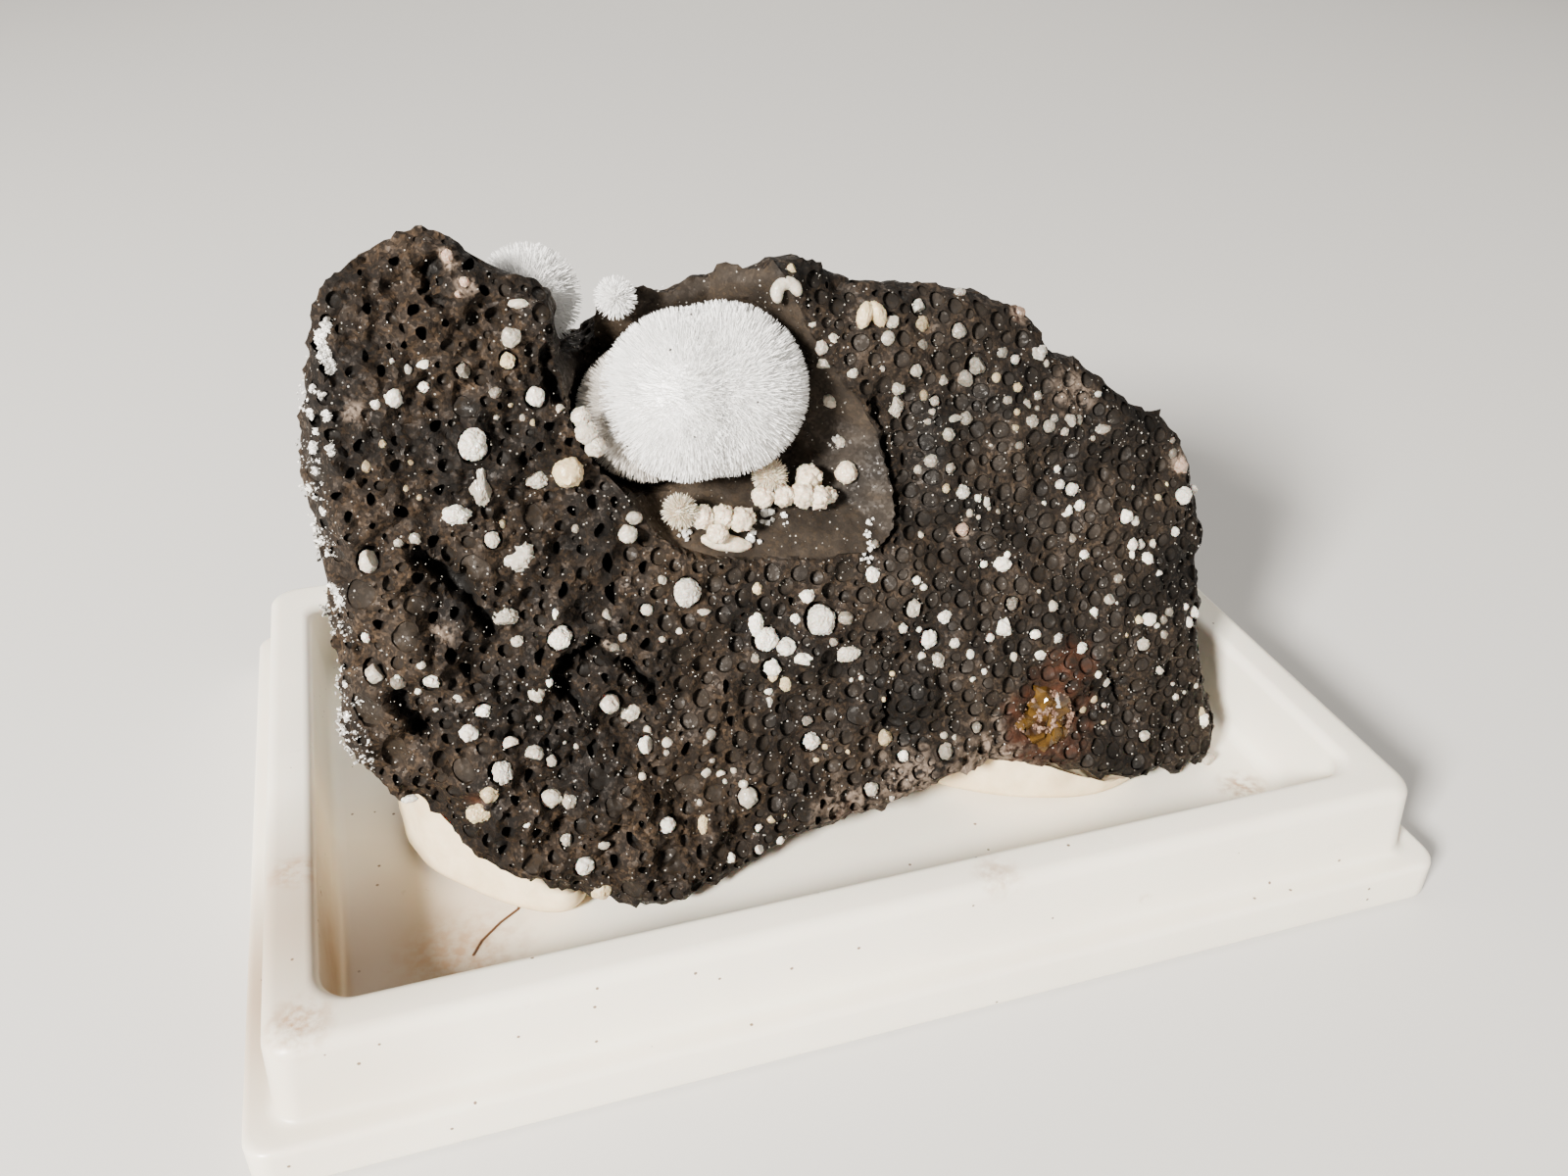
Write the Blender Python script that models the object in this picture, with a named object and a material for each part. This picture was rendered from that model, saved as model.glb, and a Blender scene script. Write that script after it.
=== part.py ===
"""Natrolite and phillipsite on vesicular basalt, puttied into the white base of a small display box.

Every number below is in millimetres or degrees; SCALE turns them into metres as each mesh is made. The
origin is under the middle of the tray. X runs along the tray to the right, Y to the back and Z up.

The rock's broken face leans back, so it has a frame of its own: u runs to the right, v up the face and w out
of it. FACE_FOOT is where that frame meets the tray's floor.
"""

import math
import random

import bmesh
import bpy
from mathutils import Matrix, Vector, noise
from mathutils.bvhtree import BVHTree
from mathutils.geometry import delaunay_2d_cdt

SCALE = 0.001
GAP = 0.3
FACET_SAG = 0.45

TRAY_LENGTH = 75.0
TRAY_DEPTH = 50.4
FLANGE_HEIGHT = 3.0
FLANGE_CORNER = 1.6
RIM_HEIGHT = 8.3
LEDGE_WIDTH = 1.7
RIM_WIDTH = 3.2
RIM_ROUND = 0.9
FLOOR_LEVEL = 2.5
WELL_CORNER = 2.2
WELL_FILLET = 0.9

FACE_FOOT = Vector((0.0, -14.0, FLOOR_LEVEL))
FACE_LEAN = 20.0

# The rock's outline on its face, (u, v), clockwise from the lower left: up the left side, over the left
# lobe's peak, down into the notch, along the ridge and the sloping right shoulder, down the right side and
# back along the arch.
OUTLINE = (
    (-28.2, 10.4), (-29.3, 11.9), (-30.0, 14.4), (-29.5, 18.0), (-29.2, 21.4), (-29.2, 26.0),
    (-29.9, 29.5), (-29.2, 32.7), (-28.7, 34.8), (-27.9, 37.4), (-26.9, 40.0), (-24.5, 41.3),
    (-23.4, 41.6), (-22.2, 42.4), (-20.9, 42.7), (-20.0, 42.5), (-18.8, 41.7), (-17.2, 39.8),
    (-14.9, 39.3), (-14.2, 38.7), (-14.3, 37.2), (-14.4, 35.2), (-14.5, 34.7), (-12.9, 34.5),
    (-11.4, 34.8), (-11.3, 37.2), (-11.0, 38.2), (-10.0, 38.6), (-7.4, 38.1), (-5.5, 38.6),
    (-4.0, 39.2), (-2.4, 38.9), (-1.3, 39.2), (0.5, 39.1), (2.0, 38.9), (2.9, 37.1), (4.1, 37.3),
    (8.6, 37.1), (11.2, 36.3), (15.1, 34.9), (15.9, 34.0), (17.0, 31.7), (19.1, 31.0), (20.5, 30.0),
    (22.6, 27.9), (25.2, 26.9), (26.3, 25.8), (28.1, 22.9), (28.7, 19.4), (29.4, 18.3), (29.3, 16.9),
    (28.6, 16.3), (28.8, 12.8), (28.2, 11.1), (28.6, 7.4), (29.6, 4.3), (29.1, 2.1), (28.0, 1.1),
    (26.8, 1.6), (25.0, 1.1), (24.0, 1.9), (21.6, 1.5), (17.7, 3.0), (13.3, 4.7), (8.9, 5.2),
    (4.6, 4.0), (1.8, 3.2), (-3.7, 2.7), (-5.8, 1.8), (-7.8, 1.3), (-11.2, 0.8), (-13.6, 0.6),
    (-15.2, 1.0), (-17.3, 1.9), (-19.5, 3.5), (-21.8, 4.6), (-23.4, 5.9), (-25.1, 7.9), (-26.4, 9.4),
)

# The open cavity's rim, from the notch down the left lobe's edge, along the bottom and up the crack on the
# right. Its two ends lie on the outline.
VUG_RIM = (
    (-14.5, 34.7), (-14.6, 33.0), (-14.4, 31.2), (-13.7, 29.4), (-12.7, 28.0), (-11.4, 26.2),
    (-10.5, 24.4), (-9.0, 22.9), (-6.9, 22.0), (-4.7, 21.6), (-1.0, 21.2), (3.0, 20.8), (4.8, 21.6),
    (5.2, 23.6), (4.8, 26.3), (4.4, 28.3), (3.3, 30.3), (1.6, 33.0), (0.2, 35.8), (-1.3, 39.2),
)

# The ledge behind the left lobe, where the back ball sits, from the notch to the lobe's top. The ends lie on
# the outline.
LEDGE_RIM = ((-14.5, 34.7), (-17.0, 34.5), (-18.9, 35.0), (-19.5, 37.6), (-18.8, 41.7))
LOBE_BACK = -3.3

# Spiny balls, (u, v, w, radius to the needles' tips).
MAIN_BALL = ((-5.0, 32.0, -1.0, 5.35), (-7.2, 31.9, -1.0, 5.3), (-9.3, 31.0, -3.4, 4.4))
MAIN_BALL_MIDDLE = (-6.8, 31.7, -1.6)
BACK_BALL = (-15.1, 38.5, -7.2, 3.4)
PUFF = (-10.5, 37.95, -2.5, 1.39)
MAIN_BALL_POINTS = 420
BACK_BALL_POINTS = 150
PUFF_POINTS = 70
SPINY_BEAD_POINTS = 60
BEAD_POINTS = 26

# Beads grown together on the cavity's floor, (u, v, radius). The first of each is a small spiny ball.
FRONT_CLUSTER = (
    (-8.5, 25.1, 1.25), (-7.1, 24.5, 0.85), (-5.9, 24.4, 0.85), (-4.8, 24.1, 0.9), (-6.4, 23.5, 0.75),
)
RIGHT_CLUSTER = (
    (-2.5, 26.4, 1.25), (-3.1, 25.2, 0.8), (-1.8, 25.1, 0.8), (-0.6, 25.0, 0.9), (0.4, 24.7, 0.85),
    (1.1, 24.7, 0.6), (0.0, 25.95, 0.95),
)
LEFT_CRUST = ((-13.8, 31.5, 0.62), (-13.6, 30.6, 0.72), (-13.2, 29.7, 0.66))

# Beads that stand alone round the cavity, (u, v, radius).
CREAM_BEAD = (-14.9, 28.4, 0.95)
FACET_BEAD = (2.5, 25.9, 0.74)
RIM_BEAD = (-11.9, 24.3, 0.6)
HORSESHOE = (-0.6, 37.3, 0.9)
HORSESHOE_TUBE = 0.4
DOUBLE_BEAD = (4.4, 35.5, 0.9)

AMBER = (14.7, 7.5, 2.2)
AMBER_POCKET_DEPTH = 1.3

# Beads in the pits of the face, (u, v, radius), fused to the rock as lumps.
BEADS = (
    (-17.2, 36.5, 0.66), (-17.5, 35.2, 0.5), (-20.1, 30.7, 0.94), (-16.8, 28.4, 0.8),
    (-19.9, 28.4, 0.8), (-21.7, 26.8, 0.78), (-18.4, 23.9, 1.02), (-26.6, 24.9, 0.66),
    (-24.2, 34.0, 0.65), (-19.7, 20.4, 0.74), (-16.7, 18.7, 0.81), (-27.2, 18.4, 0.62),
    (-22.9, 14.0, 0.64), (-18.5, 15.5, 0.58), (-14.3, 14.2, 0.71), (-21.3, 11.2, 0.73),
    (-23.0, 8.8, 0.7), (-18.6, 8.8, 0.65), (-8.8, 20.3, 0.85), (-4.2, 16.6, 0.7), (-2.6, 15.6, 0.67),
    (-4.2, 14.5, 0.67), (-0.5, 17.3, 0.98), (6.9, 14.5, 0.7), (12.2, 18.8, 0.64), (-1.7, 9.2, 0.69),
    (-6.4, 6.4, 0.68), (-17.2, 4.6, 0.67), (-15.9, 2.6, 0.7), (7.3, 6.9, 0.65), (11.4, 31.7, 0.67),
    (15.0, 31.9, 0.62), (16.9, 21.7, 0.6), (25.4, 21.3, 0.66), (21.2, 20.8, 0.62), (22.0, 18.6, 0.6),
    (22.9, 13.3, 0.58), (26.4, 13.2, 0.61), (26.8, 5.1, 0.58), (9.6, 23.9, 0.55), (3.4, 18.9, 0.58),
    (8.2, 16.4, 0.57), (5.7, 16.9, 0.63), (12.0, 14.6, 0.64), (14.6, 12.2, 0.55), (6.3, 29.6, 0.6),
    (7.7, 35.0, 0.66), (3.2, 8.5, 0.57), (18.6, 26.2, 0.6), (13.4, 26.8, 0.6),
)

# Deep crevices of the face, each a path of (u, v), and their half width and depth.
CREVICES = (
    ((-22.3, 24.6), (-21.9, 22.6), (-21.3, 20.6)),
    ((-25.2, 16.9), (-24.4, 15.6)),
    ((-15.9, 16.4), (-14.9, 16.9), (-13.8, 17.6)),
    ((-13.6, 10.4), (-13.5, 8.7)),
    ((9.2, 21.4), (9.9, 20.4)),
    ((9.4, 28.6), (9.8, 26.4)),
    ((-3.2, 12.0), (-2.6, 10.9)),
)
CREVICE_HALF_WIDTH = 0.55
CREVICE_DEPTH = 1.7

PIT_RADIUS = (0.5, 0.85)
PIT_DEPTH = 0.9
FACE_PITS = 80
BACK_PITS = 20
GRID_SPACING = 2.7
OUTLINE_STEP = 1.9
ROCK_THICKNESS = 21.0

# Putty, footprints on the tray's floor, (X, Y), as corners of a smooth closed outline.
LEFT_PUTTY = (
    (-27.8, -0.6), (-27.0, -5.4), (-24.6, -8.6), (-21.0, -11.9), (-18.2, -13.0), (-16.6, -11.0),
    (-16.4, -6.5), (-17.0, -2.0), (-19.0, 1.6), (-22.8, 3.4), (-26.6, 2.4),
)
RIGHT_PUTTY = (
    (7.6, -7.0), (10.2, -9.6), (14.2, -11.6), (19.0, -12.6), (23.0, -11.2), (24.2, -7.6), (21.0, -3.8),
    (14.6, -2.4), (9.0, -3.8),
)

COLORS = {
    "tray": ((0.86, 0.83, 0.77), 0.35),
    "putty": ((0.80, 0.74, 0.60), 0.8),
    "basalt": ((0.055, 0.048, 0.042), 0.85),
    "natrolite": ((0.93, 0.92, 0.90), 0.5),
    "phillipsite": ((0.86, 0.83, 0.76), 0.55),
    "amber": ((0.30, 0.13, 0.02), 0.3),
}


def clear_scene():
    for thing in list(bpy.data.objects):
        bpy.data.objects.remove(thing, do_unlink=True)


def material(name):
    """A plain Principled material of the part's colour."""
    made = bpy.data.materials.get(name)
    if made:
        return made
    color, roughness = COLORS[name]
    made = bpy.data.materials.new(name)
    made.use_nodes = True
    shader = made.node_tree.nodes["Principled BSDF"]
    shader.inputs["Base Color"].default_value = (*color, 1.0)
    shader.inputs["Roughness"].default_value = roughness
    return made


def smooth(low, high, x):
    """0 at low, 1 at high, easing in and out. low may be the larger."""
    t = min(1.0, max(0.0, (x - low) / (high - low)))
    return t * t * (3.0 - 2.0 * t)


def lumps(u, v, size, seed):
    """Gentle noise from -1 to 1 with features of about the given size."""
    return noise.noise(Vector((u / size, v / size, seed)))


def face_matrix():
    """Turns (u, v, w) on the rock's face into X, Y, Z."""
    lean = math.radians(FACE_LEAN)
    across = Vector((1.0, 0.0, 0.0))
    upward = Vector((0.0, math.sin(lean), math.cos(lean)))
    outward = Vector((0.0, -math.cos(lean), math.sin(lean)))
    return Matrix.Translation(FACE_FOOT) @ Matrix((across, upward, outward)).transposed().to_4x4()


FACE = face_matrix()


def add_object(name, points, faces, color, round_angle=None):
    """One closed object from points in millimetres, its faces turned outward."""
    mesh = bpy.data.meshes.new(name)
    mesh.from_pydata([Vector(p) * SCALE for p in points], [], faces)
    body = bmesh.new()
    body.from_mesh(mesh)
    bmesh.ops.recalc_face_normals(body, faces=body.faces)
    body.to_mesh(mesh)
    body.free()
    mesh.materials.append(material(color))
    if round_angle is not None:
        mesh.shade_smooth()
        mesh.set_sharp_from_angle(angle=math.radians(round_angle))
    thing = bpy.data.objects.new(name, mesh)
    bpy.context.collection.objects.link(thing)
    return thing


def inside(point, polygon):
    """Whether a point is inside a polygon, by counting the edges to its right."""
    x, y = point
    found = False
    for (x1, y1), (x2, y2) in zip(polygon, polygon[1:] + polygon[:1]):
        if (y1 > y) != (y2 > y) and x < x1 + (y - y1) / (y2 - y1) * (x2 - x1):
            found = not found
    return found


def distance_to_path(point, path):
    """The distance from a point to the nearest stretch of an open path."""
    best = math.inf
    p = Vector(point)
    for a, b in zip(path, path[1:]):
        a, b = Vector(a), Vector(b)
        along = (p - a).dot(b - a) / max((b - a).length_squared, 1e-9)
        best = min(best, (p - a.lerp(b, min(1.0, max(0.0, along)))).length)
    return best


def shifted(path, offset):
    """An open path moved sideways, to the left of its direction, its two ends staying put."""
    moved = [path[0]]
    for before, here, after in zip(path, path[1:], path[2:]):
        run = (Vector(after) - Vector(before)).normalized()
        moved.append((here[0] - run.y * offset, here[1] + run.x * offset))
    return moved + [path[-1]]


VUG_AREA = list(VUG_RIM) + [(-1.3, 45.0), (-14.5, 45.0)]
LOBE_AREA = list(LEDGE_RIM) + [(-18.8, 45.0), (-14.2, 45.0)]


def ball_cut(w, u, v, ball):
    """Keeps a surface behind a ball that sits on it, with the gap between them."""
    reach = ball[3] + GAP + FACET_SAG
    aside = math.hypot(u - ball[0], v - ball[1])
    if aside < reach:
        return min(w, ball[2] - math.sqrt(reach * reach - aside * aside))
    return w


def vug_surface(u, v):
    """The cavity's smooth wall: a flat facet on the right, a shelf below, a steep left wall and a high back."""
    facet = -0.2 + (u - 5.0) * 0.62
    shelf = -0.2 - (v - 21.3) * 0.55
    low_left = -0.3 - ((u + 12.7) * 0.843 + (v - 28.0) * 0.539) * 1.5
    left = -0.4 - (u + 14.5) * 2.2
    top = -3.2 - (38.6 - v) * 0.6
    high_right = -0.3 + ((u - 3.3) * 0.85 + (v - 30.3) * 0.52) * 1.2
    w = max(-6.8, shelf, low_left, left, top, high_right, facet if v < 31.0 else -9.0)
    for ball in (*MAIN_BALL, PUFF):
        w = ball_cut(w, u, v, ball)
    return w


def face_surface(u, v):
    """The broken face outside the cavity."""
    w = 0.55 * lumps(u, v, 8.0, 1.3) + 0.35 * lumps(u, v, 3.1, 7.7)
    w -= 3.8 * smooth(-27.4, -30.2, u) * smooth(22.0, 26.0, v)
    w -= 1.4 * smooth(-27.2, -30.0, u) * smooth(26.0, 22.0, v)
    w -= 0.12 * max(0.0, -21.0 - u)
    w -= 1.6 * smooth(-21.0, -27.0, u) * smooth(16.0, 9.0, v)
    w -= 0.018 * max(0.0, u - 17.0) ** 2
    w -= 0.10 * max(0.0, v - 27.0) * smooth(3.0, 10.0, u)
    w -= 0.9 * math.exp(-(((u - 6.4) / 1.5) ** 2)) * smooth(20.0, 22.0, v) * smooth(32.0, 29.0, v)
    w += 0.9 * math.exp(-((u + 13.0) ** 2) / 30.0 - (v - 2.0) ** 2 / 25.0)
    return w


def front_surface(u, v):
    if inside((u, v), VUG_AREA):
        return vug_surface(u, v)
    return min(face_surface(u, v), 0.4 if v > 34.5 and u < -14.0 else 9.0)


def back_surface(u, v):
    """The rough back of the rock, with the ledge cut behind the left lobe."""
    if inside((u, v), LOBE_AREA):
        return LOBE_BACK
    w = -ROCK_THICKNESS + (v - 8.0) * 0.35 + 5.0 * (abs(u) / 30.0) ** 3
    w += 1.3 * lumps(u, v, 9.0, 4.1) + 0.6 * lumps(u, v, 3.4, 9.2)
    return w


def rounded_outline():
    """The outline with its long stretches broken into shorter, slightly uneven ones, counterclockwise."""
    points = []
    ring = list(reversed(OUTLINE))
    for a, b in zip(ring, ring[1:] + ring[:1]):
        run = Vector(b) - Vector(a)
        steps = max(1, round(run.length / OUTLINE_STEP))
        side = Vector((-run.y, run.x)).normalized()
        for k in range(steps):
            p = Vector(a).lerp(Vector(b), k / steps)
            if k:
                p += side * 0.25 * lumps(p.x, p.y, 1.1, 3.3)
            points.append((p.x, p.y))
    return points


def ring_feature(center, radius, steps, sides, turn=0.0):
    """Rings round a centre, outermost first. steps are (share of the radius, height above the surface)."""
    rings = []
    for share, height in steps:
        ring = []
        for k in range(sides):
            angle = turn + math.tau * k / sides
            ring.append((
                center[0] + radius * share * math.cos(angle),
                center[1] + radius * share * math.sin(angle),
                height,
            ))
        rings.append(ring)
    return rings


def pit(center, radius, turn):
    """A gas-bubble pit, a six-sided cup with a flat bottom."""
    depth = PIT_DEPTH * (0.6 + radius)
    rings = ring_feature(center, radius, ((1.0, 0.0), (0.78, -depth)), 6, turn)
    return {"center": center, "reach": radius, "rings": rings}


def lump(center, radius, turn):
    """A bead half sunk in the face."""
    rings = ring_feature(center, radius, ((1.0, 0.0), (0.78, 0.62 * radius)), 6, turn)
    rings.append([(center[0], center[1], 0.9 * radius)])
    return {"center": center, "reach": radius, "rings": rings}


def seat(bead, depth, sides=8):
    """A round pocket that holds a bead with a gap all round."""
    reach = bead[2] + GAP + 0.1
    rings = ring_feature(bead[:2], reach, ((1.0, 0.0), (0.9, -depth)), sides)
    return {"center": bead[:2], "reach": reach, "rings": rings}


def crevice(path):
    """A deep slot along a path."""
    rings = []
    for half_width, height in ((CREVICE_HALF_WIDTH, 0.0), (CREVICE_HALF_WIDTH * 0.55, -CREVICE_DEPTH)):
        run = Vector(path[-1]) - Vector(path[0])
        tip = run.normalized() * half_width
        inner = path[1:-1]
        side = Vector((-tip.y, tip.x))
        ring = [Vector(path[0]) - tip, Vector(path[0]) - side]
        ring += [Vector(p) - side for p in inner]
        ring += [Vector(path[-1]) - side, Vector(path[-1]) + tip, Vector(path[-1]) + side]
        ring += [Vector(p) + side for p in reversed(inner)]
        ring += [Vector(path[0]) + side]
        rings.append([(p.x, p.y, height) for p in ring])
    middle = (Vector(path[0]) + Vector(path[-1])) / 2
    reach = (Vector(path[-1]) - Vector(path[0])).length / 2 + 0.6
    return {"center": tuple(middle), "reach": reach, "rings": rings}


def clear_of(point, reach, features, paths, spare=0.3):
    """Whether a round feature of this reach keeps off the others and off the paths."""
    for other in features:
        if math.dist(point, other["center"]) < reach + other["reach"] + spare:
            return False
    return all(distance_to_path(point, path) > reach + spare for path in paths)


def scatter_pits(count, area, features, paths, allowed, seed):
    """Adds pits at seeded places where they fit."""
    dice = random.Random(seed)
    left, right = min(p[0] for p in area), max(p[0] for p in area)
    low, high = min(p[1] for p in area), max(p[1] for p in area)
    made = 0
    tries = 0
    while made < count and tries < 12000:
        tries += 1
        point = (dice.uniform(left, right), dice.uniform(low, high))
        radius = dice.uniform(*PIT_RADIUS)
        if not inside(point, area) or not allowed(*point):
            continue
        if clear_of(point, radius, features, paths):
            features.append(pit(point, radius, dice.uniform(0.0, 1.0)))
            made += 1


def sheet(loop, loop_heights, surface, features, steps, seed):
    """A surface over the inside of loop, triangulated through every feature's rings and an uneven grid.

    steps are pairs of open paths with the height rule of each, for the sharp drops in the surface.
    Returns its points as (u, v, w), its triangles, and where each point of the loop went.
    """
    places = []
    heights = []
    edges = []

    def add(point, height):
        places.append(Vector(point[:2]))
        heights.append(height)
        return len(places) - 1

    def join(indices, closed):
        edges.extend(zip(indices, indices[1:]))
        if closed:
            edges.append((indices[-1], indices[0]))

    around = [add(p, h) for p, h in zip(loop, loop_heights)]
    join(around, True)
    for feature in features:
        for ring in feature["rings"]:
            made = [add(p, surface(p[0], p[1]) + p[2]) for p in ring]
            if len(made) > 1:
                join(made, True)
    paths = [loop + loop[:1]]
    for path, rule in steps:
        own = [add(p, rule(*p)) for p in path[1:-1]]
        join(own, False)
        paths.append(path)
    dice = random.Random(seed)
    rows = int(50.0 / (GRID_SPACING * 0.866))
    columns = int(64.0 / GRID_SPACING)
    for row in range(rows):
        for column in range(columns):
            u = -32.0 + (column + 0.5 * (row % 2)) * GRID_SPACING + dice.uniform(-0.35, 0.35)
            v = -2.0 + row * GRID_SPACING * 0.866 + dice.uniform(-0.35, 0.35)
            if inside((u, v), loop) and clear_of((u, v), 0.0, features, paths, 0.55):
                add((u, v), surface(u, v))
    spots, _, triangles, sources, _, _ = delaunay_2d_cdt(places, edges, [], 1, 1e-5)
    points = []
    gone_to = {}
    for index, spot in enumerate(spots):
        if sources[index]:
            height = heights[sources[index][0]]
            for source in sources[index]:
                gone_to[source] = index
        else:
            height = surface(spot.x, spot.y)
        points.append((spot.x, spot.y, height))
    return points, triangles, [gone_to[k] for k in around]


def rock_features():
    """Everything that stands on or is sunk into the front face."""
    features = [
        seat(CREAM_BEAD, 1.0),
        seat(FACET_BEAD, 0.9),
        seat(RIM_BEAD, 0.8),
        seat((HORSESHOE[0], HORSESHOE[1], HORSESHOE[2] + HORSESHOE_TUBE), 0.7),
        seat((DOUBLE_BEAD[0], DOUBLE_BEAD[1], DOUBLE_BEAD[2] + 0.2), 0.9),
        seat(AMBER, AMBER_POCKET_DEPTH, 10),
    ]
    features += [crevice(path) for path in CREVICES]
    for index, bead in enumerate(BEADS):
        features.append(lump(bead[:2], bead[2], 0.37 * index))
    return features


def back_outline(u, v):
    """Where the outline's point lands on the back: drawn in, and raised so that the underside lies level."""
    w = back_surface(u * 0.95, v)
    level = math.tan(math.radians(FACE_LEAN)) * -w * (1.0 - smooth(2.0, 14.0, v))
    behind_lobe = -19.0 < u < -14.1 and v > 35.0
    in_notch = -14.6 < u < -11.2 and 34.0 < v < 38.0
    if behind_lobe:
        return u, v - 0.15, LOBE_BACK
    if in_notch:
        return u, v, min(w, -11.5)
    return u * 0.95, v + level - 1.2 * smooth(30.0, 38.0, v), w


def make_basalt():
    """The rock: the front sheet, the back sheet and bands of faces between their edges."""
    loop = rounded_outline()
    inner_rim = shifted(VUG_RIM, 0.18)
    front_features = rock_features()
    walls = [list(VUG_RIM), loop + loop[:1]]
    scatter_pits(FACE_PITS, loop, front_features, walls, lambda u, v: not inside((u, v), VUG_AREA), 11)
    front_heights = [front_surface(u, v) - 0.5 for u, v in loop]
    front_steps = [(list(VUG_RIM), face_surface), (inner_rim, vug_surface)]
    front, front_faces, front_edge = sheet(
        loop, front_heights, front_surface, front_features, front_steps, 5
    )

    back_loop = [back_outline(u, v) for u, v in loop]
    back_flat = [p[:2] for p in back_loop]
    ledge_outside = shifted(LEDGE_RIM, 0.2)
    back_features = []
    walls = [list(LEDGE_RIM), back_flat + back_flat[:1]]
    scatter_pits(BACK_PITS, back_flat, back_features, walls, lambda u, v: not inside((u, v), LOBE_AREA), 23)
    for feature in back_features:
        feature["rings"] = [[(u, v, -height) for u, v, height in ring] for ring in feature["rings"]]
    ledge_steps = [
        (list(LEDGE_RIM), lambda u, v: LOBE_BACK),
        (ledge_outside, lambda u, v: min(-11.5, back_surface(u, v))),
    ]
    back, back_faces, back_edge = sheet(
        back_flat, [p[2] for p in back_loop], back_surface, back_features, ledge_steps, 6
    )

    points = [tuple(p) for p in front]
    faces = [tuple(f) for f in front_faces]
    ring = front_edge
    shares = (0.22, 0.5, 0.78)
    for number, share in enumerate(shares):
        fresh = []
        for k, index in enumerate(front_edge):
            a, b = Vector(front[index]), Vector(back_loop[k])
            p = a.lerp(b, share)
            thickness = smooth(2.0, 9.0, (a - b).length)
            p.x += thickness * 0.7 * lumps(a.x + a.y, p.z, 4.0, 2.0 + number)
            p.y += thickness * 0.45 * lumps(a.x - a.y, p.z, 4.0, 5.0 + number)
            fresh.append(len(points))
            points.append(tuple(p))
        faces += band(ring, fresh)
        ring = fresh
    start = len(points)
    points += [tuple(p) for p in back]
    faces += band(ring, [start + k for k in back_edge])
    faces += [tuple(start + k for k in reversed(f)) for f in back_faces]
    placed = [FACE @ Vector(p) for p in points]
    for p in placed:
        p.z = max(p.z, FLOOR_LEVEL + GAP)
    return add_object("basalt", placed, faces, "basalt")


def band(ring, next_ring):
    """Two triangles for each step between two rings of the same length."""
    faces = []
    count = len(ring)
    for k in range(count):
        n = (k + 1) % count
        faces.append((ring[k], next_ring[k], next_ring[n]))
        faces.append((ring[k], next_ring[n], ring[n]))
    return faces


def rounded_rectangle(half_x, half_y, radius, height, sides=4):
    """A level ring with round corners."""
    ring = []
    for corner, (sx, sy) in enumerate(((1, 1), (-1, 1), (-1, -1), (1, -1))):
        for k in range(sides + 1):
            angle = math.radians(90.0 * corner + 90.0 * k / sides)
            ring.append((
                sx * (half_x - radius) + radius * math.cos(angle),
                sy * (half_y - radius) + radius * math.sin(angle),
                height,
            ))
    return ring


def tray_profile():
    """The tray's section from the underside, round the flange, over the rim and down to the floor.

    Each entry is (distance in from the flange's side, height, corner radius).
    """
    wall = LEDGE_WIDTH
    top = LEDGE_WIDTH + RIM_WIDTH
    section = [
        (0.6, 0.0, FLANGE_CORNER),
        (0.15, 0.35, FLANGE_CORNER),
        (0.0, 1.5, FLANGE_CORNER),
        (0.1, FLANGE_HEIGHT - 0.35, FLANGE_CORNER),
        (0.45, FLANGE_HEIGHT, FLANGE_CORNER),
        (wall - 0.3, FLANGE_HEIGHT, 1.6),
        (wall, FLANGE_HEIGHT + 0.3, 1.6),
    ]
    for k in range(4):
        angle = math.radians(30.0 * k)
        inset = wall + 0.15 + RIM_ROUND * (1.0 - math.cos(angle))
        section.append((inset, RIM_HEIGHT - RIM_ROUND * (1.0 - math.sin(angle)), 1.7))
    inner = RIM_ROUND * 0.8
    for k in range(4):
        angle = math.radians(90.0 - 30.0 * k)
        inset = top - inner * (1.0 - math.cos(angle))
        section.append((inset, RIM_HEIGHT - inner * (1.0 - math.sin(angle)), WELL_CORNER))
    for k in range(3):
        angle = math.radians(45.0 * k)
        inset = top + 0.2 + WELL_FILLET * (1.0 - math.cos(angle))
        section.append((inset, FLOOR_LEVEL + WELL_FILLET * (1.0 - math.sin(angle)), WELL_CORNER))
    return section


def make_tray():
    points = []
    rings = []
    for inset, height, radius in tray_profile():
        ring = rounded_rectangle(TRAY_LENGTH / 2 - inset, TRAY_DEPTH / 2 - inset, radius, height)
        rings.append([len(points) + k for k in range(len(ring))])
        points += ring
    faces = [tuple(reversed(rings[0])), tuple(rings[-1])]
    for ring, next_ring in zip(rings, rings[1:]):
        faces += band(ring, next_ring)
    return add_object("tray", points, faces, "tray", 50.0)


def smooth_footprint(corners, steps=2):
    """A closed curve through the corners, with steps points for each."""
    ring = []
    count = len(corners)
    for k in range(count):
        p0, p1, p2, p3 = (Vector(corners[(k + j - 1) % count]) for j in range(4))
        for j in range(steps):
            t = j / steps
            p = 0.5 * ((2 * p1) + (p2 - p0) * t + (2 * p0 - 5 * p1 + 4 * p2 - p3) * t * t
                       + (3 * p1 - p0 - 3 * p2 + p3) * t ** 3)
            ring.append((p.x, p.y))
    return ring


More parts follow.
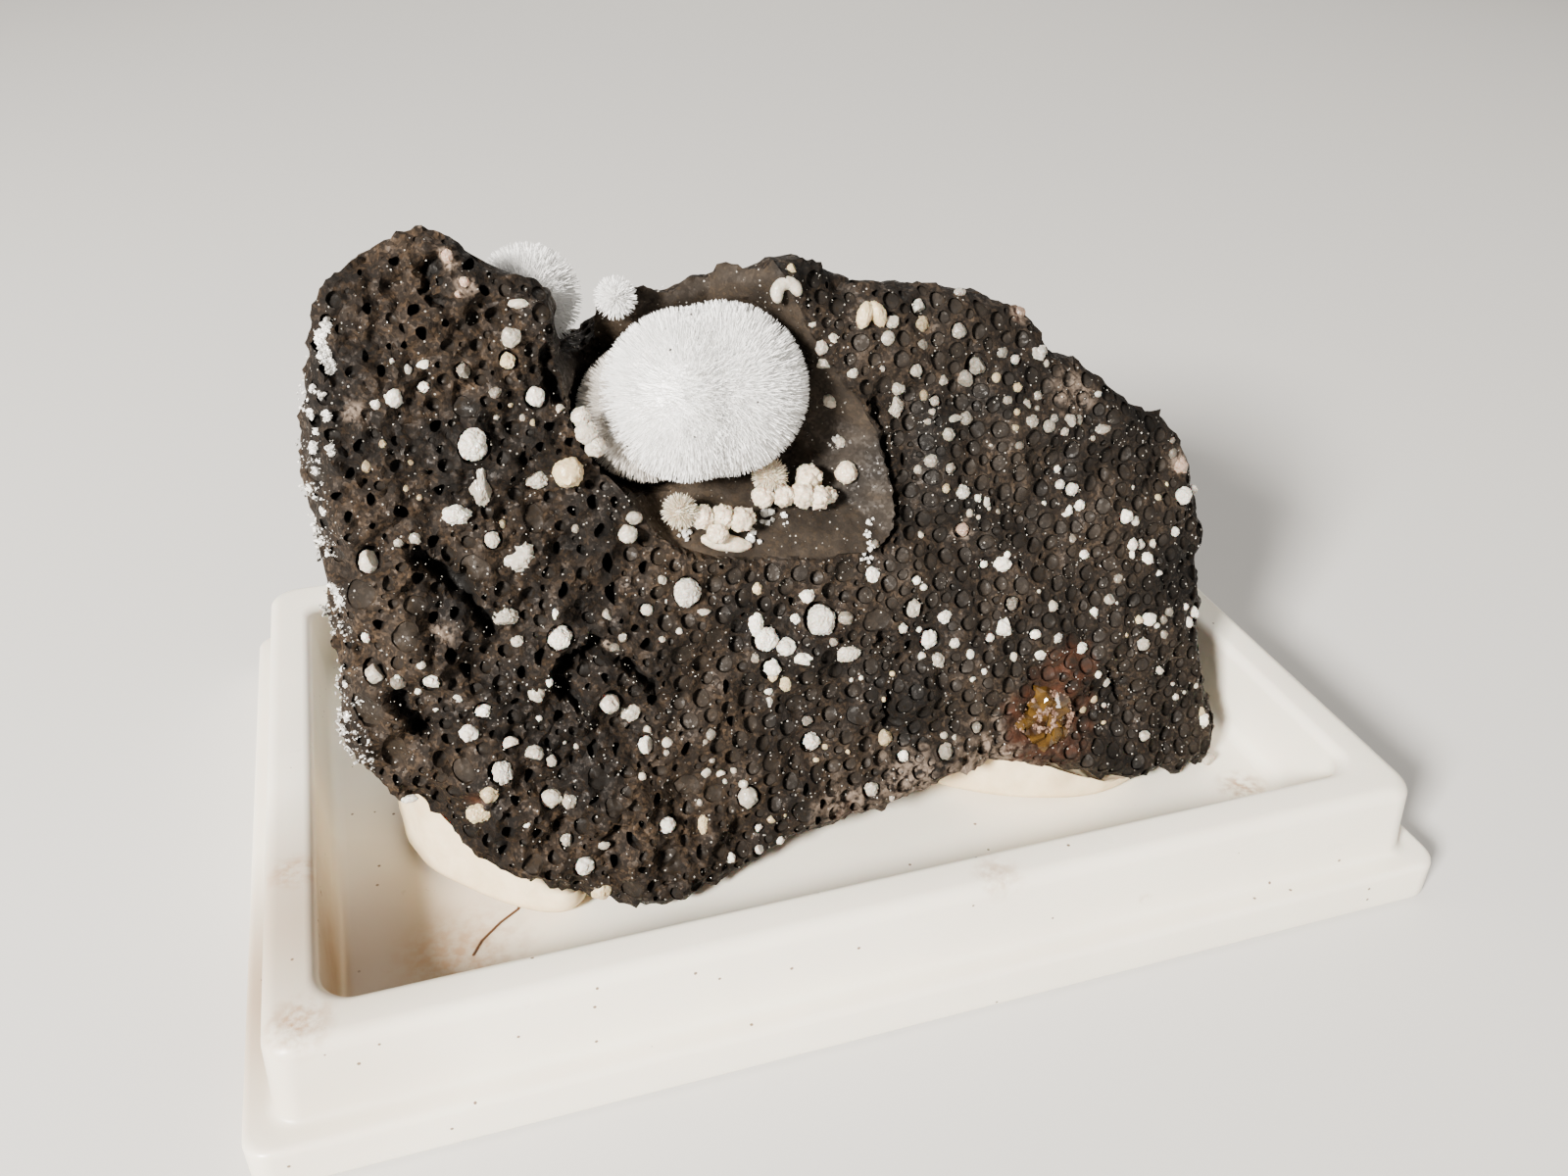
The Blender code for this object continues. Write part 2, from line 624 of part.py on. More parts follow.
def make_putty(name, corners, rock):
    """A wad pressed between the tray's floor and the rock: its top follows the rock above it, less the gap."""
    above = bmesh.new()
    above.from_mesh(rock.data)
    tree = BVHTree.FromBMesh(above)
    above.free()
    ring = smooth_footprint(corners)
    middle = Vector((sum(p[0] for p in ring) / len(ring), sum(p[1] for p in ring) / len(ring)))
    base = FLOOR_LEVEL + GAP
    points = []
    rings = []
    sides = ((0.9, base), (1.0, base + 0.7), (0.97, base + 2.0))
    for share, height in (*sides, (0.86, None), (0.62, None), (0.3, None)):
        row = []
        for p in ring:
            spot = middle + (Vector(p) - middle) * share
            row.append(len(points))
            ceiling = putty_ceiling(tree, spot)
            if height is None:
                z = ceiling
            else:
                z = min(height, max(base + 0.12 * (height > base), ceiling))
            points.append((spot.x, spot.y, z))
        rings.append(row)
    top = len(points)
    points.append((middle.x, middle.y, putty_ceiling(tree, middle)))
    faces = [tuple(reversed(rings[0]))]
    for row, next_row in zip(rings, rings[1:]):
        faces += band(row, next_row)
    last = rings[-1]
    faces += [(last[k], last[(k + 1) % len(last)], top) for k in range(len(last))]
    return add_object(name, points, faces, "putty", 60.0)


def putty_ceiling(tree, spot, most=6.5):
    """How high the putty may stand at a spot: just under the rock within reach, or its own free height."""
    lowest = FLOOR_LEVEL + most
    around = [(0.7 * ring, math.tau * k / 8) for ring in (0, 1, 2) for k in range(8)]
    for aside, angle in around:
        x = spot.x + aside * math.cos(angle)
        y = spot.y + aside * math.sin(angle)
        start = Vector((x, y, FLOOR_LEVEL + GAP)) * SCALE
        hit = tree.ray_cast(start, Vector((0.0, 0.0, 1.0)))[0]
        if hit:
            lowest = min(lowest, hit.z / SCALE - GAP)
    return max(lowest, FLOOR_LEVEL + GAP + 0.25)


def round_ball(count):
    """Evenly spread points on a ball of radius 1, and its triangles."""
    ball = bmesh.new()
    for k in range(count):
        z = 1.0 - (2.0 * k + 1.0) / count
        angle = k * math.pi * (3.0 - math.sqrt(5.0))
        level = math.sqrt(1.0 - z * z)
        ball.verts.new((level * math.cos(angle), level * math.sin(angle), z))
    bmesh.ops.convex_hull(ball, input=ball.verts)
    ball.verts.index_update()
    points = [v.co.copy() for v in ball.verts]
    faces = [tuple(v.index for v in f.verts) for f in ball.faces]
    ball.free()
    return points, faces


def spike_heads(points, faces):
    """Points of a ball that stand clear of each other, to be drawn out into spikes."""
    near = {}
    for face in faces:
        for a in face:
            near.setdefault(a, set()).update(face)
    heads = set()
    for index in range(len(points)):
        if not near[index] & heads:
            heads.add(index)
    return heads


def spiny_ball(name, middle, spheres, count):
    """Intergrown spiny balls as one solid: the furthest sphere each way, with alternate points as spikes."""
    directions, faces = round_ball(count)
    heads = spike_heads(directions, faces)
    start = Vector(middle)
    points = []
    for index, way in enumerate(directions):
        reach = 0.0
        for u, v, w, radius in spheres:
            offset = start - Vector((u, v, w))
            b = offset.dot(way)
            c = offset.length_squared - radius * radius
            if b * b - c > 0.0:
                reach = max(reach, -b + math.sqrt(b * b - c))
        share = 1.0 if index in heads else 0.87
        points.append(FACE @ (start + way * reach * share))
    return add_object(name, points, faces, "natrolite")


def bead_points(center, radius, spiny, turn):
    """A bead's own points: granular, or drawn into short spikes."""
    directions, faces = round_ball(SPINY_BEAD_POINTS if spiny else BEAD_POINTS)
    heads = spike_heads(directions, faces)
    points = []
    for index, way in enumerate(directions):
        share = (1.0 if index in heads else 0.84) if spiny else (1.0 if index in heads else 0.93)
        points.append(Vector(center) + Matrix.Rotation(turn, 3, "Z") @ way * radius * share)
    return points, faces


def make_bead(name, center, radius, color="phillipsite", turn=0.0, spiny=False):
    points, faces = bead_points(center, radius, spiny, turn)
    return add_object(name, [FACE @ p for p in points], faces, color)


def join_bodies(name, bodies, cutter=None):
    """Unites overlapping bodies in one solid, then trims it by the cutter, and applies both."""
    first = bodies[0]
    for other in bodies[1:]:
        modifier = first.modifiers.new("union", "BOOLEAN")
        modifier.operation = "UNION"
        modifier.solver = "EXACT"
        modifier.object = other
    if cutter:
        modifier = first.modifiers.new("trim", "BOOLEAN")
        modifier.operation = "DIFFERENCE"
        modifier.solver = "EXACT"
        modifier.object = cutter
    bpy.context.view_layer.update()
    solid = bpy.data.meshes.new_from_object(first.evaluated_get(bpy.context.evaluated_depsgraph_get()))
    first.modifiers.clear()
    first.data = solid
    first.name = name
    for other in bodies[1:]:
        bpy.data.objects.remove(other, do_unlink=True)
    return first


def swollen_main_ball():
    """The main ball with the gap added, to trim what grows against it."""
    spheres = [(u, v, w, radius + GAP) for u, v, w, radius in MAIN_BALL]
    cutter = spiny_ball("ball_trim", MAIN_BALL_MIDDLE, spheres, MAIN_BALL_POINTS)
    cutter.hide_render = True
    cutter.display_type = "WIRE"
    return cutter


def make_cluster(name, beads, cutter):
    """Beads grown together on the cavity's floor, the first one spiny."""
    bodies = []
    for index, (u, v, radius) in enumerate(beads):
        w = resting(u, v, radius)
        spiny = index == 0
        bodies.append(make_bead(f"{name}_{index}", (u, v, w), radius, turn=0.7 * index, spiny=spiny))
    return join_bodies(name, bodies, cutter)


def make_left_crust(cutter):
    """Flattened beads in a chain on the cavity's left wall."""
    bodies = []
    for index, (u, v, radius) in enumerate(LEFT_CRUST):
        center = (u, v, resting(u, v, radius))
        bodies.append(make_bead(f"left_crust_{index}", center, radius, turn=0.5 * index))
    return join_bodies("phillipsite_left_crust", bodies, cutter)


def bent_tube(name, center, radius, thickness, start, sweep):
    """A fat round-ended tube bent round a centre on the face: the horseshoe bead."""
    points = []
    rings = []
    stations = 9
    sides = 8
    for k in range(stations):
        angle = math.radians(start + sweep * k / (stations - 1))
        out = Vector((math.cos(angle), math.sin(angle), 0.0))
        taper = math.sqrt(max(0.12, 1.0 - abs(2.0 * k / (stations - 1) - 1.0) ** 4))
        row = []
        for j in range(sides):
            turn = math.tau * j / sides
            p = Vector(center) + out * (radius + thickness * taper * math.cos(turn))
            p.z += thickness * taper * math.sin(turn)
            row.append(len(points))
            points.append(p)
        rings.append(row)
    faces = [tuple(reversed(rings[0])), tuple(rings[-1])]
    for row, next_row in zip(rings, rings[1:]):
        faces += band(row, next_row)
    return add_object(name, [FACE @ p for p in points], faces, "phillipsite", 50.0)


def make_double_bead():
    """Two long beads leaning together on the top edge."""
    u, v, radius = DOUBLE_BEAD
    w = face_surface(u, v) + 0.45
    bodies = []
    for side in (-1, 1):
        directions, faces = round_ball(BEAD_POINTS)
        lean = Matrix.Rotation(side * math.radians(22.0), 3, "Z")
        points = []
        for way in directions:
            long_bead = Vector((way.x * 0.55, way.y * 0.95, way.z * 0.6)) * radius
            points.append(Vector((u + side * 0.42, v, w)) + lean @ long_bead)
        bodies.append(add_object(f"double_{side + 1}", [FACE @ p for p in points], faces, "phillipsite"))
    return join_bodies("phillipsite_double_bead", bodies)


def make_amber():
    """The amber-brown crystal in its pocket: a ten-sided base and a crown of uneven flat facets."""
    u, v, radius = AMBER
    floor = front_surface(u, v) - AMBER_POCKET_DEPTH + GAP + 0.3
    points = []
    rings = []
    sides = 10
    for number, (share, height) in enumerate(((0.72, 0.0), (0.94, 0.45), (0.9, 0.95), (0.5, 1.35))):
        row = []
        for k in range(sides):
            angle = math.tau * k / sides
            uneven = 1.0 - 0.12 * (k * 7 % 5) / 4.0
            lift = height + (0.22 * ((k * 3 + number) % 4) / 3.0 if number > 1 else 0.0)
            row.append(len(points))
            reach = radius * share * uneven
            points.append((u + reach * math.cos(angle), v + reach * math.sin(angle), floor + lift))
        rings.append(row)
    faces = [tuple(reversed(rings[0]))]
    for row, next_row in zip(rings, rings[1:]):
        faces += band(row, next_row)
    peak = len(points)
    points.append((u - 0.3, v + 0.4, floor + 1.65))
    last = rings[-1]
    faces += [(last[k], last[(k + 1) % sides], peak) for k in range(sides)]
    return add_object("amber_grain", [FACE @ Vector(p) for p in points], faces, "amber")


def resting(u, v, radius):
    """The height of a ball's centre where it stands on the face, the gap between them."""
    reach = radius + GAP
    height = front_surface(u, v) + reach
    for share in (0.35, 0.7, 0.95):
        for k in range(12):
            angle = math.tau * k / 12
            du, dv = reach * share * math.cos(angle), reach * share * math.sin(angle)
            height = max(height, front_surface(u + du, v + dv) + reach * math.sqrt(1.0 - share * share))
    return height


def seated(bead, rise):
    """A lone bead's centre, so that it stands out of its pocket by rise of its radius."""
    u, v, radius = bead
    return (u, v, front_surface(u, v) + radius * rise), radius


def main():
    clear_scene()
    make_tray()
    rock = make_basalt()
    make_putty("putty_left", LEFT_PUTTY, rock)
    make_putty("putty_right", RIGHT_PUTTY, rock)
    spiny_ball("natrolite_main_ball", MAIN_BALL_MIDDLE, MAIN_BALL, MAIN_BALL_POINTS)
    spiny_ball("natrolite_back_ball", BACK_BALL[:3], [BACK_BALL], BACK_BALL_POINTS)
    spiny_ball("natrolite_puff", PUFF[:3], [PUFF], PUFF_POINTS)
    trim = swollen_main_ball()
    make_cluster("phillipsite_front_cluster", FRONT_CLUSTER, trim)
    make_cluster("phillipsite_right_cluster", RIGHT_CLUSTER, trim)
    make_left_crust(trim)
    make_bead("phillipsite_cream_bead", *seated(CREAM_BEAD, 0.4))
    make_bead("phillipsite_facet_bead", *seated(FACET_BEAD, 0.45))
    make_bead("phillipsite_rim_bead", *seated(RIM_BEAD, 0.45))
    u, v, radius = HORSESHOE
    horseshoe_place = (u, v, front_surface(u, v) + 0.3)
    bent_tube("phillipsite_horseshoe", horseshoe_place, radius, HORSESHOE_TUBE, -20.0, 250.0)
    make_double_bead()
    make_amber()
    bpy.data.objects.remove(trim, do_unlink=True)


main()
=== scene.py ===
import math
import random

import bmesh
import bpy
import numpy as np
from mathutils import Matrix, Vector, noise
from mathutils.geometry import delaunay_2d_cdt


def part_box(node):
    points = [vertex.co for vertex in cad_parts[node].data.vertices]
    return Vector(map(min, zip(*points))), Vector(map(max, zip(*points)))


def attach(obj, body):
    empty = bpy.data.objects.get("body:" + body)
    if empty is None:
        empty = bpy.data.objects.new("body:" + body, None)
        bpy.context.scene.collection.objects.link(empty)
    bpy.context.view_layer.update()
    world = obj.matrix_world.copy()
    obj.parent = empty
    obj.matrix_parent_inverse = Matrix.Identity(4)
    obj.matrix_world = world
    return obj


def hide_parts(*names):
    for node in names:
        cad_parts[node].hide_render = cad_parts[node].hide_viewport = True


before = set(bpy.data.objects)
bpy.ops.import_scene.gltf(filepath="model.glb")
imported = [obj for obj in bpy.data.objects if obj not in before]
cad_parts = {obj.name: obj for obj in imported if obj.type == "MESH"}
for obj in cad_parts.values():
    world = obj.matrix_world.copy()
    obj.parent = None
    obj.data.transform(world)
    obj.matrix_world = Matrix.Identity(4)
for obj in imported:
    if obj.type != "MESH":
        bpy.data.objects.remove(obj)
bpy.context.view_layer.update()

# Lengths are in millimetres until a mesh is made. u, v and w are the rock face's own axes:
# u to the right, v up the face, w out of it.
millimetre = 0.001
faceFoot = (0.0, -14.0, 2.5)
faceLean = math.radians(20.0)
sinLean, cosLean = math.sin(faceLean), math.cos(faceLean)
gap = 0.3  # room kept between the rock and what rests on it
highest = 42.4  # the solid's top

cameraPlace = {
    "position": (-23.70, -73.22, 64.38),
    "down": 32.18,
    "turn": 17.71,
    "roll": 0.5,
    "lens": 30.32,
    "pixelsPerUnit": 1347.6,
    "centre": (800.0, 600.0),
}

outline = (
    (-28.2, 10.4), (-29.3, 11.9), (-30.0, 14.4), (-29.5, 18.0), (-29.2, 21.4), (-29.2, 26.0),
    (-29.9, 29.5), (-29.2, 32.7), (-28.7, 34.8), (-27.9, 37.4), (-26.9, 40.0), (-24.5, 41.3),
    (-23.4, 41.6), (-22.2, 42.4), (-20.9, 42.7), (-20.0, 42.5), (-18.8, 41.7), (-17.2, 39.8),
    (-14.9, 39.3), (-14.2, 38.7), (-14.3, 37.2), (-14.4, 35.2), (-14.5, 34.7), (-12.9, 34.5),
    (-11.4, 34.8), (-11.3, 37.2), (-11.0, 38.2), (-10.0, 38.6), (-7.4, 38.1), (-5.5, 38.6),
    (-4.0, 39.2), (-2.4, 38.9), (-1.3, 39.2), (0.5, 39.1), (2.0, 38.9), (2.9, 37.1), (4.1, 37.3),
    (8.6, 37.1), (11.2, 36.3), (15.1, 34.9), (15.9, 34.0), (17.0, 31.7), (19.1, 31.0), (20.5, 30.0),
    (22.6, 27.9), (25.2, 26.9), (26.3, 25.8), (28.1, 22.9), (28.7, 19.4), (29.4, 18.3), (29.3, 16.9),
    (28.6, 16.3), (28.8, 12.8), (28.2, 11.1), (28.6, 7.4), (29.6, 4.3), (29.1, 2.1), (28.0, 1.1),
    (26.8, 1.6), (25.0, 1.1), (24.0, 1.9), (21.6, 1.5), (17.7, 3.0), (13.3, 4.7), (8.9, 5.2),
    (4.6, 4.0), (1.8, 3.2), (-3.7, 2.7), (-5.8, 1.8), (-7.8, 1.3), (-11.2, 0.8), (-13.6, 0.6),
    (-15.2, 1.0), (-17.3, 1.9), (-19.5, 3.5), (-21.8, 4.6), (-23.4, 5.9), (-25.1, 7.9), (-26.4, 9.4),
)
vugRim = (
    (-14.5, 34.7), (-14.6, 33.0), (-14.4, 31.2), (-13.7, 29.4), (-12.7, 28.0), (-11.4, 26.2),
    (-10.5, 24.4), (-9.0, 22.9), (-6.9, 22.0), (-4.7, 21.6), (-1.0, 21.2), (3.0, 20.8), (4.8, 21.6),
    (5.2, 23.6), (4.8, 26.3), (4.4, 28.3), (3.3, 30.3), (1.6, 33.0), (0.2, 35.8), (-1.3, 39.2),
)
ledgeRim = ((-14.5, 34.7), (-17.0, 34.5), (-18.9, 35.0), (-19.5, 37.6), (-18.8, 41.7))
lobeBack = -3.3
vugArea = list(vugRim) + [(-1.3, 45.0), (-14.5, 45.0)]
lobeArea = list(ledgeRim) + [(-18.8, 45.0), (-14.2, 45.0)]

# centre (u, v, w) and radius to the needle tips
natroliteBalls = {
    "natroliteBallRight": (-5.0, 32.0, -1.0, 5.35),
    "natroliteBallMiddle": (-7.2, 31.9, -1.0, 5.3),
    "natroliteBallLeft": (-9.3, 31.0, -3.4, 4.4),
}
backBall = (-15.1, 38.5, -7.2, 3.4)
puffBall = (-10.5, 37.95, -2.5, 1.39)


# measuring

def fromFace(points):
    u, v, w = np.asarray(points, float).T
    return np.column_stack((
        faceFoot[0] + u,
        faceFoot[1] + v * sinLean - w * cosLean,
        faceFoot[2] + v * cosLean + w * sinLean,
    ))


def toFace(points):
    x, y, z = (np.asarray(points, float) - np.array(faceFoot)).T
    return np.column_stack((x, y * sinLean + z * cosLean, z * sinLean - y * cosLean))


def easeStep(low, high, x):
    t = np.clip((np.asarray(x, float) - low) / (high - low), 0.0, 1.0)
    return t * t * (3.0 - 2.0 * t)


def noiseAt(a, b, size, seed):
    return np.array([noise.noise((x / size, y / size, seed)) for x, y in zip(np.ravel(a), np.ravel(b))])


def noiseSolid(points, size, seed):
    return np.array([noise.noise((x / size + seed, y / size, z / size)) for x, y, z in points])


def noiseOver(ways, scale, shift=0.0):
    return np.array([noise.noise((x * scale + shift, y * scale, z * scale)) for x, y, z in ways])


def insidePath(u, v, path):
    found = np.zeros(len(u), bool)
    for (x1, y1), (x2, y2) in zip(path, list(path[1:]) + [path[0]]):
        if y1 == y2:
            continue
        crosses = (y1 > v) != (y2 > v)
        found ^= crosses & (u < x1 + (v - y1) / (y2 - y1) * (x2 - x1))
    return found


def pathDistance(u, v, path):
    best = np.full(len(u), 1e9)
    for (x1, y1), (x2, y2) in zip(path, path[1:]):
        dx, dy = x2 - x1, y2 - y1
        t = np.clip(((u - x1) * dx + (v - y1) * dy) / max(dx * dx + dy * dy, 1e-9), 0.0, 1.0)
        best = np.minimum(best, np.hypot(u - x1 - t * dx, v - y1 - t * dy))
    return best


closedOutline = list(outline) + [outline[0]]


# the rock's broad relief, the same forms as the solid

def ballCut(w, u, v, ball, spare):
    reach = ball[3] + spare
    aside = np.hypot(u - ball[0], v - ball[1])
    cut = ball[2] - np.sqrt(np.maximum(reach * reach - aside * aside, 0.0))
    return np.where(aside < reach, np.minimum(w, cut), w)


# flat walls of the cavity: height at a place, that place and the slope along u, and the same along v
vugWalls = {
    "shelf": (-0.2, 0.0, 0.0, 21.3, -0.55),
    "lowLeft": (-0.3, -12.7, -1.2645, 28.0, -0.8085),
    "left": (-0.4, -14.5, -2.2, 0.0, 0.0),
    "top": (-3.2, 0.0, 0.0, 38.6, 0.6),
    "highRight": (-0.3, 3.3, 1.02, 30.3, 0.624),
}
vugDeepest = -6.8
vugFacet = {"edge": 5.0, "height": -0.2, "slope": 0.62, "top": 31.0}


def vugSurface(u, v):
    facet = vugFacet["height"] + (u - vugFacet["edge"]) * vugFacet["slope"]
    w = np.maximum(np.where(v < vugFacet["top"], facet, vugDeepest), vugDeepest)
    for height, placeU, slopeU, placeV, slopeV in vugWalls.values():
        w = np.maximum(w, height + (u - placeU) * slopeU + (v - placeV) * slopeV)
    for ball in (*natroliteBalls.values(), puffBall):
        w = ballCut(w, u, v, ball, gap + 0.15)
    return w


def faceSurface(u, v):
    w = 0.55 * noiseAt(u, v, 8.0, 1.3) + 0.35 * noiseAt(u, v, 3.1, 7.7)
    # the left side falls back, more so above and below the middle
    w -= 3.8 * easeStep(-27.4, -30.2, u) * easeStep(22.0, 26.0, v)
    w -= 1.4 * easeStep(-27.2, -30.0, u) * easeStep(26.0, 22.0, v)
    w -= 0.12 * np.maximum(0.0, -21.0 - u)
    w -= 1.6 * easeStep(-21.0, -27.0, u) * easeStep(16.0, 9.0, v)
    # so do the right side and the upper right
    w -= 0.018 * np.maximum(0.0, u - 17.0) ** 2
    w -= 0.10 * np.maximum(0.0, v - 27.0) * easeStep(3.0, 10.0, u)
    # a groove beside the cavity and a swelling over the left putty
    w -= 0.9 * np.exp(-(((u - 6.4) / 1.5) ** 2)) * easeStep(20.0, 22.0, v) * easeStep(32.0, 29.0, v)
    w += 0.9 * np.exp(-((u + 13.0) ** 2) / 30.0 - (v - 2.0) ** 2 / 25.0)
    return w


def frontSurface(u, v):
    u, v = np.asarray(u, float), np.asarray(v, float)
    face = faceSurface(u, v)
    face = np.where((v > 34.5) & (u < -14.0), np.minimum(face, 0.4), face)
    return np.where(insidePath(u, v, vugArea), vugSurface(u, v), face)


def backSurface(u, v):
    u, v = np.asarray(u, float), np.asarray(v, float)
    w = -21.0 + (v - 8.0) * 0.35 + 5.0 * (np.abs(u) / 30.0) ** 3
    w += 1.3 * noiseAt(u, v, 9.0, 4.1) + 0.6 * noiseAt(u, v, 3.4, 9.2)
    return np.where(insidePath(u, v, lobeArea), lobeBack, w)


def restingHeight(u, v, radius):
    reach = radius + gap
    turn = np.arange(12) * math.tau / 12
    heights = [frontSurface([u], [v])[0] + reach]
    for share in (0.35, 0.7, 0.95):
        around = frontSurface(u + reach * share * np.cos(turn), v + reach * share * np.sin(turn))
        heights.append(around.max() + reach * math.sqrt(1.0 - share * share))
    return max(heights)


# the photograph's camera

def cameraAxes():
    down, turn, roll = (math.radians(cameraPlace[k]) for k in ("down", "turn", "roll"))
    ahead = Vector((math.sin(turn) * math.cos(down), math.cos(turn) * math.cos(down), -math.sin(down)))
    right = ahead.cross(Vector((0.0, 0.0, 1.0))).normalized()
    up = right.cross(ahead)
    right = math.cos(roll) * right + math.sin(roll) * up
    return right, right.cross(ahead), ahead


def makeCamera():
    data = bpy.data.cameras.new("specimenCamera")
    data.lens = cameraPlace["lens"]
    data.sensor_width = 36.0
    data.clip_start = 0.005
    camera = bpy.data.objects.new("specimenCamera", data)
    bpy.context.scene.collection.objects.link(camera)
    right, up, ahead = cameraAxes()
    matrix = Matrix((right, up, -ahead)).transposed().to_4x4()
    matrix.translation = Vector(cameraPlace["position"]) * millimetre
    camera.matrix_world = matrix
    bpy.context.scene.camera = camera


def pixelsToFace(pixels):
    # follows the line of sight through each pixel to the rock's face; gives u, v and millimetres per pixel
    right, up, ahead = (np.array(axis) for axis in cameraAxes())
    pixels = np.asarray(pixels, float)
    scale = cameraPlace["pixelsPerUnit"]
    rays = ahead + np.outer((pixels[:, 0] - cameraPlace["centre"][0]) / scale, right)
    rays -= np.outer((pixels[:, 1] - cameraPlace["centre"][1]) / scale, up)
    start = toFace([cameraPlace["position"]])[0]
    origin = toFace([(0.0, 0.0, 0.0)])[0]
    ways = toFace(rays) - origin
    found = np.zeros((len(pixels), 3))
    done = np.zeros(len(pixels), bool)
    for w in np.arange(2.0, -8.0, -0.1):
        t = (w - start[2]) / ways[:, 2]
        u = start[0] + t * ways[:, 0]
        v = start[1] + t * ways[:, 1]
        under = ~done & (frontSurface(u, v) >= w)
        found[under] = np.column_stack((u, v, t / scale))[under]
        done |= under
    found[~done] = np.column_stack((u, v, t / scale))[~done]
    return found


# meshes

def addPiece(name, points, faces, materialName, replaced=(), sharp=None, masks=None):
    mesh = bpy.data.meshes.new(name)
    points = np.array(points, float)
    points[:, 2] = np.minimum(points[:, 2], highest)
    points *= millimetre
    faces = faces.tolist() if isinstance(faces, np.ndarray) else faces
    mesh.from_pydata(points.tolist(), [], faces)
    if sharp is not None:
        mesh.shade_smooth()
        if sharp < 180.0:
            mesh.set_sharp_from_angle(angle=math.radians(sharp))
    for key, values in (masks or {}).items():
        values = np.asarray(values, np.float32)
        if values.ndim == 2:
            layer = mesh.attributes.new(key, "FLOAT_COLOR", "POINT")
            layer.data.foreach_set("color", values.ravel())
        else:
            layer = mesh.attributes.new(key, "FLOAT", "POINT")
            layer.data.foreach_set("value", values)
    mesh.materials.append(bpy.data.materials[materialName])
    piece = bpy.data.objects.new(name, mesh)
    bpy.context.scene.collection.objects.link(piece)
    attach(piece, "root")
    if replaced:
        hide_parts(*replaced)
    print("made", name, len(faces), "faces")
    return piece


def mergeParts(parts):
    points, faces, offset = [], [], 0
    for vertices, triangles in parts:
        points.append(vertices)
        faces.append(np.asarray(triangles) + offset)
        offset += len(vertices)
    return np.vstack(points), np.vstack(faces)


def bandFaces(ring, nextRing):
    faces = []
    for k in range(len(ring)):
        n = (k + 1) % len(ring)
        faces.append((ring[k], nextRing[k], nextRing[n]))
        faces.append((ring[k], nextRing[n], ring[n]))
    return faces


def joinRings(sections):
    # rings of points, one after the other: the points, each ring's numbers, and the faces between the rings
    points, rings, faces = [], [], []
    for ring in sections:
        rings.append([len(points) + k for k in range(len(ring))])
        points += ring
    for ring, nextRing in zip(rings, rings[1:]):
        faces += bandFaces(ring, nextRing)
    return points, rings, faces


icospheres = {}


def roundShape(level):
    if level not in icospheres:
        ball = bmesh.new()
        bmesh.ops.create_icosphere(ball, subdivisions=level, radius=1.0)
        points = np.array([p.co[:] for p in ball.verts])
        faces = np.array([[p.index for p in f.verts] for f in ball.faces])
        ball.free()
        icospheres[level] = (points, faces)
    return icospheres[level]


# pits, holes and the sheets they are cut in

# rings of a pit from its rim inwards: share of the radius, share of the depth, roughness kept,
# polish of the wall, and how dark it is with painted shade in its hollow
pitKinds = {
    "disc": {
        "rings": ((1.0, 0.0, 1.0, 0.2, 0.0), (0.93, 0.9, 0.2, 0.9, 0.0),
                  (0.6, 1.0, 0.1, 1.0, 0.0), (0.0, 1.03, 0.1, 1.0, 0.0)),
        "depth": (0.5, 0.85), "tilt": 0.45, "wobble": 0.06, "paintedShade": 0.55,
    },
    "cup": {
        "rings": ((1.0, 0.0, 1.0, 0.1, 0.0), (0.9, 0.6, 0.3, 0.6, 0.25),
                  (0.62, 0.95, 0.0, 0.8, 0.5), (0.0, 1.08, 0.0, 0.8, 0.5)),
        "depth": (0.75, 1.2), "tilt": 0.4, "wobble": 0.12, "paintedShade": 0.5,
    },
    "hole": {
        "rings": ((1.0, 0.0, 1.0, 0.0, 0.1), (0.88, 0.45, 0.5, 0.1, 0.75),
                  (0.62, 1.0, 0.1, 0.1, 1.0), (0.0, 1.1, 0.0, 0.1, 1.0)),
        "depth": (1.7, 2.6), "tilt": 0.15, "wobble": 0.2, "paintedShade": 0.0,
    },
    "seat": {
        "rings": ((1.0, 0.0, 1.0, 0.1, 0.0), (0.9, 0.7, 0.3, 0.3, 0.4),
                  (0.6, 0.95, 0.0, 0.3, 0.6), (0.0, 1.0, 0.0, 0.3, 0.6)),
        "depth": (0.55, 0.75), "tilt": 0.1, "wobble": 0.07, "paintedShade": 0.2,
    },
    "floor": {
        "rings": ((1.0, 0.0, 1.0, 0.3, 0.0), (0.9, 0.75, 0.3, 1.0, 0.0),
                  (0.6, 0.95, 0.1, 1.0, 0.0), (0.0, 1.05, 0.1, 1.0, 0.0)),
        "depth": (0.2, 0.34), "tilt": 0.55, "wobble": 0.16, "paintedShade": 0.25,
    },
}
deepSide = math.radians(160.0)
pitTries = 110
# what a plain point of a sheet carries: height, roughness kept, polish, painted shade
plainGround = (0.0, 1.0, 0.0, 0.0)
smoothGround = (0.0, 0.0, 0.0, 0.0)


def lobes(radius, dice):
    # circles that overlap in the middle, for a hole made of several bubbles
    circles = [(0.0, 0.0, 0.72 * radius)]
    for _ in range(dice.choice((1, 2, 2, 3))):
        circles.append((dice.uniform(0.0, math.tau), 0.42 * radius, radius * dice.uniform(0.5, 0.62)))
    return circles


def lobedReach(turn, circles):
    best = 0.0
    for way, offset, size in circles:
        inside = size * size - (offset * math.sin(turn - way)) ** 2
        if inside > 0.0:
            best = max(best, offset * math.cos(turn - way) + math.sqrt(inside))
    return best


